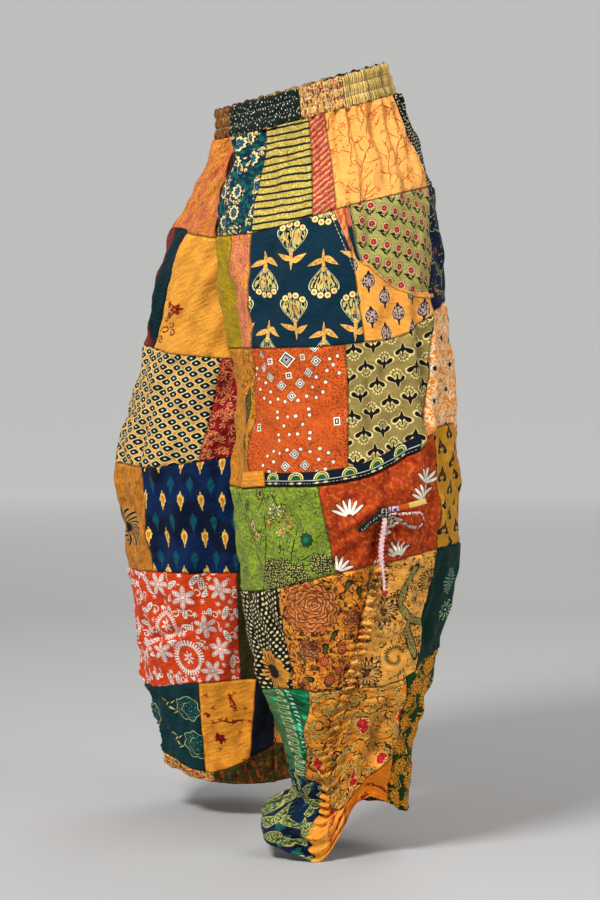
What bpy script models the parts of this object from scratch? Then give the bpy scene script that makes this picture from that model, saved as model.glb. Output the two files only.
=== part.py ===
"""Wide-leg drawstring pants of patchwork cotton, in the hollow form they have when worn.

Each leg is a tube of cloth whose level sections are read from a short table. Above the
crotch the two tubes are cut by the plane between them, which gives the centre seams. Every
piece is a thin closed wall on that form. The front faces -Y, the wearer's left is +X, and
the origin is the middle of the waist opening, halfway up the waistband. Metres.
"""
import math

import bpy
import numpy as np

# Driving dimensions
WALL = 0.0015              # cloth of a leg panel
SEAM = 0.0003              # gap between two pieces that meet
BAND_HEIGHT = 0.042        # gathered elastic waistband
BAND_WALL = 0.0034
BAND_GATHERS = 72
FRONT_GATHERS = 14         # gathers at the top of an upper panel
BACK_GATHERS = 10
GATHER_DEPTH = 0.0022
GATHER_FADE = 0.130        # how far below the waistband the gathers die out
BAND_MIDDLE = -0.017       # nominal height of the waistband's middle, which is at z 0
KNEE = -0.500
HEM = -0.970               # nominal height of the hem, before each leg's own line
BACK_TILT = 0.28           # the waist is higher at the back
SIDE_TILT = 0.08           # and on the wearer's left
CHANNEL_WIDTH = 0.017
CHANNEL_RUCHES = 27
STRING_RADIUS = 0.0021
KNOT_RADII = (0.0060, 0.0058, 0.0045)   # round the leg, up and out
KNOT_GAP = 0.0007

# Rows of points down a panel: the same on both sides of a seam, so that its edges match
UPPER_ROWS = 11
LOWER_ROWS = 13
OUTER_COLUMNS = 4          # front shin columns on the outer side of the channel
CHANNEL_COLUMN = 2 * FRONT_GATHERS - 2 - OUTER_COLUMNS   # and on its inner side
LAID_GAP = 0.0013          # under a piece that lies on a panel
CHANNEL_GAP = 0.0015       # under the channel, which crosses the panel's facets

# Level sections of a leg: nominal height, centre x and y, and the radius to the outer
# side, the inner side, the front and the back.
HIP_SECTIONS = [
    [0.030, 0.000, -0.008, 0.137, 0.137, 0.106, 0.093],
    [0.000, 0.000, -0.003, 0.138, 0.138, 0.104, 0.100],
    [-0.030, 0.000, 0.001, 0.141, 0.141, 0.107, 0.108],
    [-0.060, 0.006, 0.002, 0.146, 0.146, 0.112, 0.117],
    [-0.100, 0.024, 0.000, 0.154, 0.142, 0.124, 0.129],
    [-0.160, 0.052, -0.006, 0.158, 0.135, 0.138, 0.141],
    [-0.220, 0.082, -0.010, 0.147, 0.132, 0.144, 0.146],
    [-0.300, 0.112, -0.014, 0.134, 0.138, 0.140, 0.142],
    [-0.400, 0.138, -0.020, 0.134, 0.142, 0.141, 0.142],
    [-0.500, 0.155, -0.030, 0.141, 0.146, 0.146, 0.143],
]
LEFT_SHIN_SECTIONS = [
    [-0.600, 0.157, -0.030, 0.135, 0.142, 0.142, 0.138],
    [-0.700, 0.158, -0.032, 0.121, 0.128, 0.126, 0.126],
    [-0.800, 0.158, -0.028, 0.100, 0.102, 0.100, 0.102],
    [-0.860, 0.158, -0.026, 0.083, 0.086, 0.084, 0.085],
    [-0.910, 0.158, -0.024, 0.073, 0.076, 0.076, 0.075],
    [-0.970, 0.158, -0.022, 0.067, 0.076, 0.074, 0.068],
]
RIGHT_SHIN_SECTIONS = [
    [-0.600, 0.157, -0.024, 0.138, 0.142, 0.142, 0.138],
    [-0.700, 0.157, -0.020, 0.134, 0.132, 0.135, 0.128],
    [-0.800, 0.157, -0.017, 0.122, 0.118, 0.122, 0.116],
    [-0.900, 0.156, -0.013, 0.106, 0.102, 0.105, 0.100],
    [-0.970, 0.155, -0.010, 0.098, 0.096, 0.096, 0.094],
]
SECTIONS = {
    1: np.array(HIP_SECTIONS + LEFT_SHIN_SECTIONS),
    -1: np.array(HIP_SECTIONS + RIGHT_SHIN_SECTIONS),
}

# Hem lines: angle round the leg, height of the hem, and how far it flares over the foot.
# The angle is 0 at the front, 90 at the outer side and 180 at the back.
HEM_LINE = {
    1: np.array([
        [-180, -0.935, 0.000],
        [-120, -0.940, 0.004],
        [-75, -0.946, 0.018],
        [-32, -0.955, 0.040],
        [0, -0.965, 0.052],
        [20, -0.978, 0.040],
        [34, -0.985, 0.026],
        [46, -0.956, 0.012],
        [58, -0.922, 0.004],
        [75, -0.906, 0.000],
        [90, -0.912, 0.000],
        [120, -0.930, 0.002],
        [180, -0.935, 0.000],
    ]),
    -1: np.array([
        [-180, -0.922, 0.000],
        [-58, -0.937, 0.002],
        [30, -0.920, 0.003],
        [100, -0.916, 0.000],
        [180, -0.922, 0.000],
    ]),
}
PUFF_TOP = -0.915          # the break above the left foot, and where the flare starts
PUFF_DROP = 0.028

# Knee seam: angle and height. The left one climbs under the topstitched knee band.
KNEE_LINE = {
    1: np.array([
        [-180, -0.500],
        [-140, -0.511],
        [-90, -0.518],
        [-20, -0.521],
        [10, -0.517],
        [40, -0.506],
        [70, -0.490],
        [95, -0.477],
        [120, -0.473],
        [150, -0.482],
        [180, -0.500],
    ]),
    -1: np.array([
        [-180, -0.502],
        [0, -0.502],
        [180, -0.502],
    ]),
}

# Side seam: height and angle.
SIDE_SEAM = np.array([
    [0.030, 112],
    [-0.100, 124],
    [-0.200, 130],
    [-0.300, 127],
    [-0.400, 121],
    [-0.500, 116],
    [-0.600, 114],
    [-0.700, 108],
    [-0.800, 101],
    [-0.970, 98],
])

# Pocket mouth, scooped out of the front: angle and height. The yoke seam is above it.
POCKET_MOUTH = np.array([
    [50, -0.160],
    [60, -0.182],
    [68, -0.208],
    [77, -0.250],
    [96, -0.277],
    [130, -0.282],
])
YOKE_HEIGHT = -0.154
KNEE_BAND_SPAN = (-14, 98)
KNEE_BAND_WIDTH = 0.022

# Drawstring channel down the shin: height and angle.
CHANNEL_PATH = np.array([
    [-0.500, 76.0],
    [-0.600, 75.5],
    [-0.660, 71.5],
    [-0.710, 67.0],
    [-0.760, 59.0],
    [-0.800, 50.0],
    [-0.840, 39.0],
    [-0.880, 31.5],
    [-0.970, 34.0],
])
CHANNEL_TOP = -0.553
BOW_HEIGHT = -0.538

# Largest folds: angle and height of the upper end, of the lower end, width and depth.
# A negative depth is a trough.
FOLDS = {
    1: [
        [-12, -0.12, -22, -0.50, 0.020, -0.006],
        [30, -0.06, 22, -0.30, 0.018, -0.005],
        [62, -0.05, 50, -0.22, 0.016, -0.005],
        [84, -0.30, 78, -0.52, 0.016, -0.006],
        [100, -0.20, 96, -0.52, 0.018, 0.006],
        [60, -0.52, 48, -0.78, 0.018, -0.010],
        [86, -0.52, 92, -0.66, 0.015, -0.008],
        [45, -0.50, 62, -0.60, 0.016, 0.007],
        [-20, -0.55, 5, -0.80, 0.020, -0.007],
        [90, -0.66, 52, -0.90, 0.016, -0.008],
        [104, -0.70, 84, -0.95, 0.018, 0.007],
        [-30, -0.70, 12, -0.93, 0.016, 0.006],
        [140, -0.15, 150, -0.55, 0.022, -0.007],
        [170, -0.30, 162, -0.62, 0.022, 0.006],
        [205, -0.40, 190, -0.80, 0.022, -0.008],
        [130, -0.60, 150, -0.92, 0.020, -0.007],
        [235, -0.50, 220, -0.92, 0.020, -0.006],
        [255, -0.48, 262, -0.75, 0.020, 0.004],
    ],
    -1: [
        [10, -0.10, 2, -0.36, 0.018, -0.005],
        [45, -0.06, 55, -0.38, 0.020, -0.006],
        [35, -0.36, 20, -0.56, 0.020, 0.006],
        [-45, -0.50, -50, -0.80, 0.018, -0.007],
        [-62, -0.62, -66, -0.90, 0.014, -0.008],
        [12, -0.55, 4, -0.80, 0.020, -0.005],
        [45, -0.86, -15, -0.84, 0.014, -0.006],
        [60, -0.54, 52, -0.80, 0.018, -0.009],
        [92, -0.54, 88, -0.80, 0.018, -0.008],
        [-15, -0.70, 20, -0.90, 0.018, 0.005],
        [140, -0.12, 152, -0.50, 0.022, -0.007],
        [172, -0.28, 160, -0.60, 0.022, 0.006],
        [208, -0.42, 196, -0.82, 0.022, -0.008],
        [128, -0.58, 148, -0.90, 0.020, -0.007],
        [238, -0.52, 226, -0.90, 0.020, -0.006],
        [252, -0.46, 258, -0.72, 0.020, 0.004],
    ],
}
FOLD_CLEAR = 0.030         # folds fade this close to the plane between the legs
CHANNEL_SINK = 0.007       # how far the drawn-up channel pulls the cloth in
CHANNEL_SINK_WIDTH = 0.013
CHANNEL_PUFF = 0.006       # and how far the cloth puffs out beside it
CHANNEL_PUFF_AT = 0.034

COLOURS = {
    "waistband": (0.24, 0.19, 0.08),
    "front_upper": (0.62, 0.32, 0.08),
    "back_upper": (0.50, 0.30, 0.10),
    "front_lower": (0.60, 0.26, 0.06),
    "back_lower": (0.42, 0.26, 0.08),
    "pocket_facing": (0.36, 0.36, 0.12),
    "knee_band": (0.01, 0.04, 0.09),
    "channel": (0.60, 0.33, 0.08),
    "drawstring": (0.72, 0.50, 0.36),
}


def clear_scene():
    for old in list(bpy.data.objects):
        bpy.data.objects.remove(old)


def cotton(name, colour):
    material = bpy.data.materials.new(name)
    material.use_nodes = True
    shader = material.node_tree.nodes["Principled BSDF"]
    shader.inputs["Base Color"].default_value = (*colour, 1.0)
    shader.inputs["Roughness"].default_value = 0.85
    shader.inputs["Metallic"].default_value = 0.0
    return material


def read_table(table, at):
    """Values of a table's later columns at places in its first, on smooth curves."""
    rows = table[np.argsort(table[:, 0])]
    keys, values = rows[:, 0], rows[:, 1:]
    slopes = np.gradient(values, keys, axis=0)
    low = np.clip(np.searchsorted(keys, at) - 1, 0, len(keys) - 2)
    step = (keys[low + 1] - keys[low])[..., None]
    t = np.clip((at - keys[low])[..., None] / step, 0.0, 1.0)
    rise = 3 * t**2 - 2 * t**3
    return (
        (1 - rise) * values[low]
        + rise * values[low + 1]
        + (t**3 - 2 * t**2 + t) * step * slopes[low]
        + (t**3 - t**2) * step * slopes[low + 1]
    )


def ramp(x, start, end):
    """0 before start, 1 after end, and smooth between."""
    t = np.clip((x - start) / (end - start), 0.0, 1.0)
    return t * t * (3 - 2 * t)


def column(table, at):
    return read_table(table, at)[..., 0]


def wrapped(angle):
    return (angle + 180.0) % 360.0 - 180.0


def fold_depth(side, angle, height):
    """How far the large folds and the drawn-up channel move the cloth out from its section."""
    radius = read_table(SECTIONS[side], height)[..., 2]
    out = np.zeros_like(height)
    for top_angle, top, low_angle, low, width, depth in FOLDS[side]:
        along = np.clip((height - top) / (low - top), -0.5, 1.5)
        middle = top_angle + (low_angle - top_angle) * along
        across = np.radians(wrapped(angle - middle)) * radius
        ends = ramp(along, -0.1, 0.3) * (1 - ramp(along, 0.7, 1.1))
        if abs(low - top) < 0.05:
            # a fold that runs round the leg
            t = np.clip((angle - top_angle) / (low_angle - top_angle), 0.0, 1.0)
            across = height - (top + (low - top) * t)
            ends = ramp(t, 0.0, 0.3) * (1 - ramp(t, 0.7, 1.0))
        out = out + depth * ends * np.exp(-((across / width) ** 2))
    from_channel = np.radians(wrapped(angle - column(CHANNEL_PATH, height))) * radius
    drawn = 1 - ramp(height, CHANNEL_TOP - 0.02, CHANNEL_TOP + 0.05)
    sunk = CHANNEL_SINK * np.exp(-((from_channel / CHANNEL_SINK_WIDTH) ** 2))
    beside = (np.abs(from_channel) - CHANNEL_PUFF_AT) / CHANNEL_SINK_WIDTH
    puffed = CHANNEL_PUFF * np.exp(-(beside**2)) * (1 - ramp(height, -0.90, -0.95))
    return out + drawn * (puffed - sunk)


def leg_points(side, angle, height, lift=0.0, folded=True):
    """Points of a leg's outer surface, at angles round it and nominal heights down it."""
    angle, height = np.broadcast_arrays(np.asarray(angle, float), np.asarray(height, float))
    cx, cy, r_out, r_in, r_front, r_back = np.moveaxis(read_table(SECTIONS[side], height), -1, 0)
    hem, flare = np.moveaxis(read_table(HEM_LINE[side], wrapped(angle)), -1, 0)
    lift = lift + flare * (1 - ramp(height, PUFF_TOP - PUFF_DROP, PUFF_TOP))
    sine, cosine = np.sin(np.radians(angle)), np.cos(np.radians(angle))
    across = np.where(sine > 0, r_out, r_in)
    if folded:
        from_middle = cx + across * sine
        lift = lift + fold_depth(side, angle, height) * ramp(from_middle, 0.0, FOLD_CLEAR)
    x = cx + (across + lift) * sine
    y = cy - (np.where(cosine > 0, r_front, r_back) + lift) * cosine
    x = np.maximum(x, SEAM / 2)
    above_knee = np.clip((height - KNEE) / -KNEE, 0.0, None)
    below_knee = np.clip((KNEE - height) / (KNEE - HEM), 0.0, 1.0)
    z = height + above_knee * (BACK_TILT * y + SIDE_TILT * side * x)
    z = z + below_knee**3 * (hem - HEM) - BAND_MIDDLE
    return np.stack([side * x, y, z], axis=-1)


def centre_angle(side, height):
    """Angle at which the plane between the legs cuts a section, 90 below the crotch."""
    section = read_table(SECTIONS[side], height)
    return np.degrees(np.arcsin(np.clip(section[..., 0] / section[..., 3], 0.0, 1.0)))


def wall_between(name, outer, inner, side, material):
    """One closed body between two grids of points of the same size."""
    rows, columns = outer.shape[:2]
    vertices = np.concatenate([outer.reshape(-1, 3), inner.reshape(-1, 3)])
    half = rows * columns

    def at(i, j, layer):
        return layer * half + i * columns + j

    faces = []
    for i in range(rows - 1):
        for j in range(columns - 1):
            quad = [(i, j), (i + 1, j), (i + 1, j + 1), (i, j + 1)]
            faces.append([at(*corner, 0) for corner in quad])
            faces.append([at(*corner, 1) for corner in reversed(quad)])
    rim = [(i, 0) for i in range(rows)]
    rim += [(rows - 1, j) for j in range(1, columns)]
    rim += [(i, columns - 1) for i in range(rows - 2, -1, -1)]
    rim += [(0, j) for j in range(columns - 2, 0, -1)]
    for here, after in zip(rim, rim[1:] + rim[:1]):
        faces.append([at(*here, 0), at(*here, 1), at(*after, 1), at(*after, 0)])
    if side < 0:
        faces = [face[::-1] for face in faces]
    return add_mesh(name, vertices, faces, material)


def add_mesh(name, vertices, faces, material):
    mesh = bpy.data.meshes.new(name)
    mesh.from_pydata([tuple(v) for v in vertices.tolist()], [], faces)
    mesh.materials.append(material)
    mesh.shade_smooth()
    mesh.set_sharp_from_angle(angle=math.radians(50))
    piece = bpy.data.objects.new(name, mesh)
    bpy.context.collection.objects.link(piece)
    return piece


def seam_step(side, height):
    """Half a seam's gap as an angle at this height."""
    return np.degrees(SEAM / 2 / read_table(SECTIONS[side], height)[..., 2])


def out_direction(side, angles):
    turn = np.radians(angles)
    return np.stack([side * np.sin(turn), -np.cos(turn), np.zeros_like(turn)], axis=-1)


def panel(name, side, angles, heights, lift, colour):
    """A leg panel between two seams, and the grid that pieces sewn on it are made from."""
    outer = leg_points(side, angles, heights, lift)
    inner = leg_points(side, angles, heights, lift - WALL)
    inner[:, 1:-1, 0] = side * np.maximum(side * inner[:, 1:-1, 0], SEAM / 2 + WALL)
    wall_between(name, outer, inner, side, cotton(name, colour))
    return {"points": outer, "angles": angles, "heights": heights}


def upper_panel(side, cut, gathers):
    """Front or back from the waistband down to the knee seam, gathered at the top."""
    steps = np.arange(2 * gathers + 1)
    across = steps[None, :] / (2 * gathers)
    down = np.linspace(0.0, 1.0, UPPER_ROWS + 1)[:, None] ** 1.25
    start = BAND_MIDDLE - BAND_HEIGHT / 2 - SEAM

    def spread(height):
        middle = centre_angle(side, height) - seam_step(side, height)
        seam = column(SIDE_SEAM, height)
        gap = seam_step(side, height)
        if cut == "front":
            return -middle + (seam - gap + middle) * across
        return seam + gap + (180 + middle - seam - gap) * across

    knee = column(KNEE_LINE[side], wrapped(spread(np.full((1, 1), KNEE))[0])) + SEAM / 2
    heights = start + (knee[None, :] - start) * down
    angles = spread(heights)
    zigzag = np.where(steps % 2 == 0, 1.0, -1.0) * (0.75 + 0.25 * np.sin(2.4 * steps))
    reach = GATHER_FADE * (0.8 + 0.2 * np.sin(1.7 * steps))
    lift = GATHER_DEPTH * zigzag * (1 - ramp(start - heights, 0.0, reach))
    return panel(f"{SIDE_NAMES[side]}_{cut}_upper", side, angles, heights, lift, COLOURS[f"{cut}_upper"])


def lower_panel(side, cut, above):
    """Front or back from the knee seam to the hem. Two front columns carry the channel."""
    down = np.linspace(0.0, 1.0, LOWER_ROWS + 1)[:, None]
    rough = KNEE + (HEM - KNEE) * down
    gap = seam_step(side, rough)
    seam = column(SIDE_SEAM, rough)
    if cut == "front":
        middle = column(CHANNEL_PATH, rough)
        half = np.degrees(CHANNEL_WIDTH / 2 / read_table(SECTIONS[side], rough)[..., 2])
        inner_share = np.arange(CHANNEL_COLUMN) / CHANNEL_COLUMN
        outer_share = np.arange(OUTER_COLUMNS + 1) / OUTER_COLUMNS
        inner_side = -90 + gap + (middle - half + 90 - gap) * inner_share
        outer_side = middle + half + (seam - gap - middle - half) * outer_share
        angles = np.concatenate([inner_side, middle - half, middle, outer_side], axis=1)
    else:
        share = np.linspace(0.0, 1.0, 2 * BACK_GATHERS + 1)[None, :]
        angles = seam + gap + (270 - gap - seam - gap) * share
    angles[0] = above["angles"][-1]
    knee = above["heights"][-1:] - SEAM
    heights = knee + (HEM - knee) * down
    return panel(f"{SIDE_NAMES[side]}_{cut}_lower", side, angles, heights, 0.0, COLOURS[f"{cut}_lower"])


def on_panel(grid, columns, heights):
    """Points and angles on a panel's own columns, at heights between its rows."""
    points = np.empty(heights.shape + (3,))
    angles = np.empty(heights.shape)
    for k, j in enumerate(columns):
        level = grid["heights"][::-1, j]
        angles[:, k] = np.interp(heights[:, k], level, grid["angles"][::-1, j])
        for axis in range(3):
            points[:, k, axis] = np.interp(heights[:, k], level, grid["points"][::-1, j, axis])
    return points, angles


def laid_on(name, side, grid, columns, heights, rise, colour, gap=LAID_GAP):
    """A piece that lies on a panel: the panel's points, moved out by its gap and its wall."""
    points, angles = on_panel(grid, columns, heights)
    out = out_direction(side, angles)
    outer = points + out * (gap + rise)[..., None]
    inner = points + out * gap
    wall_between(name, outer, inner, side, cotton(name, colour))


def waistband():
    """Ring of cloth over elastic, stitched in rows and gathered by it."""
    rows = [
        # height as a share of the band, and how far the row stands out
        [0.50, 0.0000],
        [0.34, 0.0012],
        [0.18, -0.0006],
        [0.00, 0.0010],
        [-0.18, -0.0006],
        [-0.34, 0.0012],
        [-0.50, 0.0000],
    ]
    steps = np.arange(2 * BAND_GATHERS)
    angle = steps * 180.0 / BAND_GATHERS
    zigzag = np.where(steps % 2 == 0, 0.0011, -0.0011) * (0.8 + 0.2 * np.sin(2.9 * steps))
    on_left = angle <= 180

    def ring(share, out):
        height = np.full(len(steps), BAND_MIDDLE + share * BAND_HEIGHT)
        left = leg_points(1, angle, height, out, folded=False)
        right = leg_points(-1, 360 - angle, height, out, folded=False)
        points = np.where(on_left[:, None], left, right)
        points[np.abs(points[:, 0]) < SEAM, 0] = 0.0
        return points

    loops = [ring(share, out + zigzag) for share, out in rows]
    loops += [ring(share, -BAND_WALL + zigzag / 2) for share in (-0.5, 0.5)]
    count = len(steps)
    faces = []
    for k in range(len(loops)):
        below = (k + 1) % len(loops) * count
        for j in range(count):
            after = (j + 1) % count
            faces.append([k * count + j, below + j, below + after, k * count + after])
    material = cotton("waistband", COLOURS["waistband"])
    add_mesh("waistband", np.concatenate(loops), faces, material)


def pocket_facing(side, front):
    """Cloth that shows in the scooped mouth of the pocket, from the yoke to the side seam."""
    place = int(np.argmin(np.abs(front["heights"][:, 0] + 0.2)))
    first = int(np.argmin(np.abs(front["angles"][place] - POCKET_MOUTH[0, 0])))
    columns = range(first, front["angles"].shape[1])
    mouth_angles = front["angles"][place, first:]
    low = np.interp(mouth_angles, POCKET_MOUTH[:, 0], POCKET_MOUTH[:, 1])
    down = np.linspace(0.0, 1.0, 6)[:, None]
    heights = YOKE_HEIGHT + (low - YOKE_HEIGHT)[None, :] * down
    rise = np.full(heights.shape, 0.0010)
    rise[:, 0] = 0.0005
    name = f"{SIDE_NAMES[side]}_pocket_facing"
    laid_on(name, side, front, columns, heights, rise, COLOURS["pocket_facing"])


def knee_band(front):
    """Strip topstitched along the left knee seam, from the inner front to the side."""
    first = int(np.argmin(np.abs(front["angles"][-1] - KNEE_BAND_SPAN[0])))
    last = int(np.argmin(np.abs(front["angles"][-1] - KNEE_BAND_SPAN[1])))
    columns = range(first, last + 1)
    seam = front["heights"][-1, first:last + 1]
    share = np.array([1.0, 0.5, 0.04])[:, None]
    heights = seam[None, :] + KNEE_BAND_WIDTH * share
    rise = np.full(heights.shape, 0.0012)
    laid_on("left_knee_band", 1, front, columns, heights, rise, COLOURS["knee_band"])


def channel(side, front):
    """Casing for the drawstring, sewn down the shin and drawn up into small ruches."""
    columns = range(CHANNEL_COLUMN, CHANNEL_COLUMN + 3)
    steps = np.arange(2 * CHANNEL_RUCHES + 1)[:, None]
    heights = np.linspace(CHANNEL_TOP, HEM + 0.003, len(steps))[:, None] + np.zeros((1, 3))
    ruche = np.where(steps % 2 == 0, 0.0, 0.0024) * (0.8 + 0.2 * np.sin(2.2 * steps))
    rise = 0.0014 + ruche + np.array([0.0, 0.0018, 0.0])
    name = f"{SIDE_NAMES[side]}_drawstring_channel"
    laid_on(name, side, front, columns, heights, rise, COLOURS["channel"], CHANNEL_GAP)


def bow_frame(side, front):
    """Where the knot sits, and its directions: round the leg to the back, up and out."""
    height = np.array([[BOW_HEIGHT]])
    points, angles = on_panel(front, [CHANNEL_COLUMN + 1], height)
    out = out_direction(side, angles)[0, 0]
    turn = math.radians(angles[0, 0])
    round_leg = np.array([side * math.cos(turn), math.sin(turn), 0.0])
    up = np.array([0.0, 0.0, 1.0])
    return points[0, 0] + out * (KNOT_RADII[2] + KNOT_GAP), np.array([round_leg, up, out])


# Strings of the bow, in the knot's own directions: round the leg to the back, up and out.
BOW_STRINGS = {
    "long_end": [
        [0.0000, -0.0062, 0.0020],
        [-0.0020, -0.014, 0.0060],
        [-0.0050, -0.026, 0.0085],
        [-0.0070, -0.040, 0.0095],
        [-0.0075, -0.055, 0.0100],
        [-0.0050, -0.070, 0.0100],
        [-0.0030, -0.085, 0.0100],
        [-0.0030, -0.098, 0.0100],
    ],
    "short_end": [
        [0.0057, 0.0038, 0.0015],
        [0.018, 0.0060, 0.0070],
        [0.034, 0.0100, 0.0095],
        [0.052, 0.0140, 0.0080],
    ],
    "back_loop": [
        [0.0057, -0.0042, -0.0002],
        [0.020, -0.0100, 0.0050],
        [0.034, -0.0180, 0.0065],
        [0.044, -0.0180, 0.0070],
        [0.049, -0.0090, 0.0080],
        [0.045, -0.0010, 0.0095],
        [0.034, -0.0005, 0.0105],
        [0.020, -0.0010, 0.0085],
        [0.0062, -0.0002, 0.0040],
    ],
    "front_loop": [
        [-0.0057, -0.0040, -0.0005],
        [-0.018, -0.0100, 0.0040],
        [-0.029, -0.0165, 0.0055],
        [-0.035, -0.0185, 0.0085],
        [-0.030, -0.0155, 0.0115],
        [-0.018, -0.0075, 0.0105],
        [-0.0058, 0.0005, 0.0045],
    ],
}


def smooth_route(points, count):
    """A Catmull-Rom curve through the route's own points."""
    p = np.array(points)
    p = np.concatenate([2 * p[:1] - p[1:2], p, 2 * p[-1:] - p[-2:-1]])
    places = np.linspace(0.0, len(points) - 1 - 1e-9, count)
    route = []
    for place in places:
        k = int(place)
        t = place - k
        a, b, c, d = p[k:k + 4]
        route.append(
            0.5 * (2 * b + (c - a) * t + (2 * a - 5 * b + 4 * c - d) * t**2
                   + (3 * b - a - 3 * c + d) * t**3)
        )
    return np.array(route)


def string(name, route, material):
    """A drawstring as a round tube along its route."""
    curve = bpy.data.curves.new(name, "CURVE")
    curve.dimensions = "3D"
    curve.bevel_depth = STRING_RADIUS
    curve.bevel_resolution = 2
    curve.use_fill_caps = True
    spline = curve.splines.new("POLY")
    spline.points.add(len(route) - 1)
    for point, place in zip(spline.points, route):
        point.co = (*place, 1.0)
    curve.materials.append(material)
    piece = bpy.data.objects.new(name, curve)
    bpy.context.collection.objects.link(piece)
    return piece


def knot(name, place, directions, material):
    """The bow's knot: a small rounded lump."""
    rings, sides = 5, 8
    shape = []
    for i in range(rings + 1):
        tilt = math.pi * i / rings
        for j in range(sides if 0 < i < rings else 1):
            turn = 2 * math.pi * j / sides
            around = math.sin(tilt)
            shape.append((around * math.cos(turn), math.cos(tilt), around * math.sin(turn)))
    vertices = place + (np.array(shape) * KNOT_RADII) @ directions
    last = len(vertices) - 1
    low = last - sides
    faces = []
    for j in range(sides):
        after = (j + 1) % sides
        faces.append([0, 1 + j, 1 + after])
        faces.append([last, low + after, low + j])
        for i in range(rings - 2):
            top, below = 1 + i * sides, 1 + (i + 1) * sides
            faces.append([top + j, below + j, below + after, top + after])
    if np.linalg.det(directions) > 0:
        faces = [face[::-1] for face in faces]
    return add_mesh(name, vertices, faces, material)


def bow(side, front):
    """Knot, two loops, a short end and a long one, tied above the channel's mouth."""
    place, directions = bow_frame(side, front)
    word = SIDE_NAMES[side]
    material = cotton(f"{word}_drawstring", COLOURS["drawstring"])
    knot(f"{word}_drawstring_knot", place, directions, material)
    for part, points in BOW_STRINGS.items():
        route = smooth_route(points, 2 * len(points))
        string(f"{word}_drawstring_{part}", place + route @ directions, material)


SIDE_NAMES = {1: "left", -1: "right"}

clear_scene()
waistband()
for leg_side in SIDE_NAMES:
    thigh_front = upper_panel(leg_side, "front", FRONT_GATHERS)
    thigh_back = upper_panel(leg_side, "back", BACK_GATHERS)
    shin_front = lower_panel(leg_side, "front", thigh_front)
    lower_panel(leg_side, "back", thigh_back)
    pocket_facing(leg_side, thigh_front)
    channel(leg_side, shin_front)
    bow(leg_side, shin_front)
    if leg_side > 0:
        knee_band(thigh_front)
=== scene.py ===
"""Looks of the wide-leg drawstring pants: patchwork cotton, gathered waistband, ruched shins.

The cloth stands on the form of the solids, and its patches, creases, prints and stitches are
made here. The front faces -Y, the wearer's left is +X. Metres; prints are drawn in millimetres.
"""
import math
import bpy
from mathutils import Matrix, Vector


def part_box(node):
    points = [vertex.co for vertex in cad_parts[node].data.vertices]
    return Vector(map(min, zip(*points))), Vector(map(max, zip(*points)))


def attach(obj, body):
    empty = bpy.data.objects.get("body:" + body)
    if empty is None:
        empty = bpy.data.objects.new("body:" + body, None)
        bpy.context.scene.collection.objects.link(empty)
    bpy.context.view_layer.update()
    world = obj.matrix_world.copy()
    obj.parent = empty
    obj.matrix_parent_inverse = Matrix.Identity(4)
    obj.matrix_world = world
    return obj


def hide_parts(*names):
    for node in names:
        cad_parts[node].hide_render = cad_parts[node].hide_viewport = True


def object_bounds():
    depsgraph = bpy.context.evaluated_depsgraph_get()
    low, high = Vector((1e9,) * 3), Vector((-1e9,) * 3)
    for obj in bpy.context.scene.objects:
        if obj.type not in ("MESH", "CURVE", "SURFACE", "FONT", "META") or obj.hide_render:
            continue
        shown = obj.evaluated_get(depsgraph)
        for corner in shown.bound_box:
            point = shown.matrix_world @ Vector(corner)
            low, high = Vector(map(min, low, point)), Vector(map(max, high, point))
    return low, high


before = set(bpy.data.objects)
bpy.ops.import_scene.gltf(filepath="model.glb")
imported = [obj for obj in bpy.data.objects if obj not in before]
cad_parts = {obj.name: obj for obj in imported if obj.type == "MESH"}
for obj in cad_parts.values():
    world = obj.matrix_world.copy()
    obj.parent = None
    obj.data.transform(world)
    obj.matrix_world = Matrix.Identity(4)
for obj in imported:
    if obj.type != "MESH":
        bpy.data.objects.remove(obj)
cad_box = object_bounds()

from types import SimpleNamespace

import bmesh
import bpy
import numpy as np
from mathutils import Vector

# Studio. A wide grey-white floor that curves up into a backdrop, lit by large soft lamps, seen
# three-quarters from the wearer's left at hip height, as a clothing photograph is taken.
FLOOR = min(corner[2] for corner in cad_box)
STUDIO_WIDTH = 60.0
PAPER_FRONT = -18.0
BACKDROP_AT = 7.0
BACKDROP_CURVE = 2.5
BACKDROP_HEIGHT = 9.0
PAPER_TONES = [0.50, 0.525]
GLOW_FROM, GLOW_TO = 2.2, 5.2
GLOW = 0.31
ROOM_LIGHT = 0.28
CAMERA_AZIMUTH = math.radians(58)
CAMERA_DISTANCE = 3.50
CAMERA_HEIGHT = -0.223
CAMERA_PITCH = math.radians(3.92)
CAMERA_YAW = math.radians(0.065)
LENS = 105.0
SENSOR = 36.0
# azimuth and elevation from the object, distance, size and watts
LAMPS = {
    "key": [26, 45, 3.2, 0.9, 92],
    "fill": [112, 24, 3.4, 2.4, 31],
    "left_fill": [-40, 18, 3.6, 2.6, 6],
    "back": [215, 42, 3.4, 2.2, 34],
}


def direction(azimuth, elevation=0.0):
    flat = math.cos(elevation)
    return Vector((math.sin(azimuth) * flat, -math.cos(azimuth) * flat, math.sin(elevation)))


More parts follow.
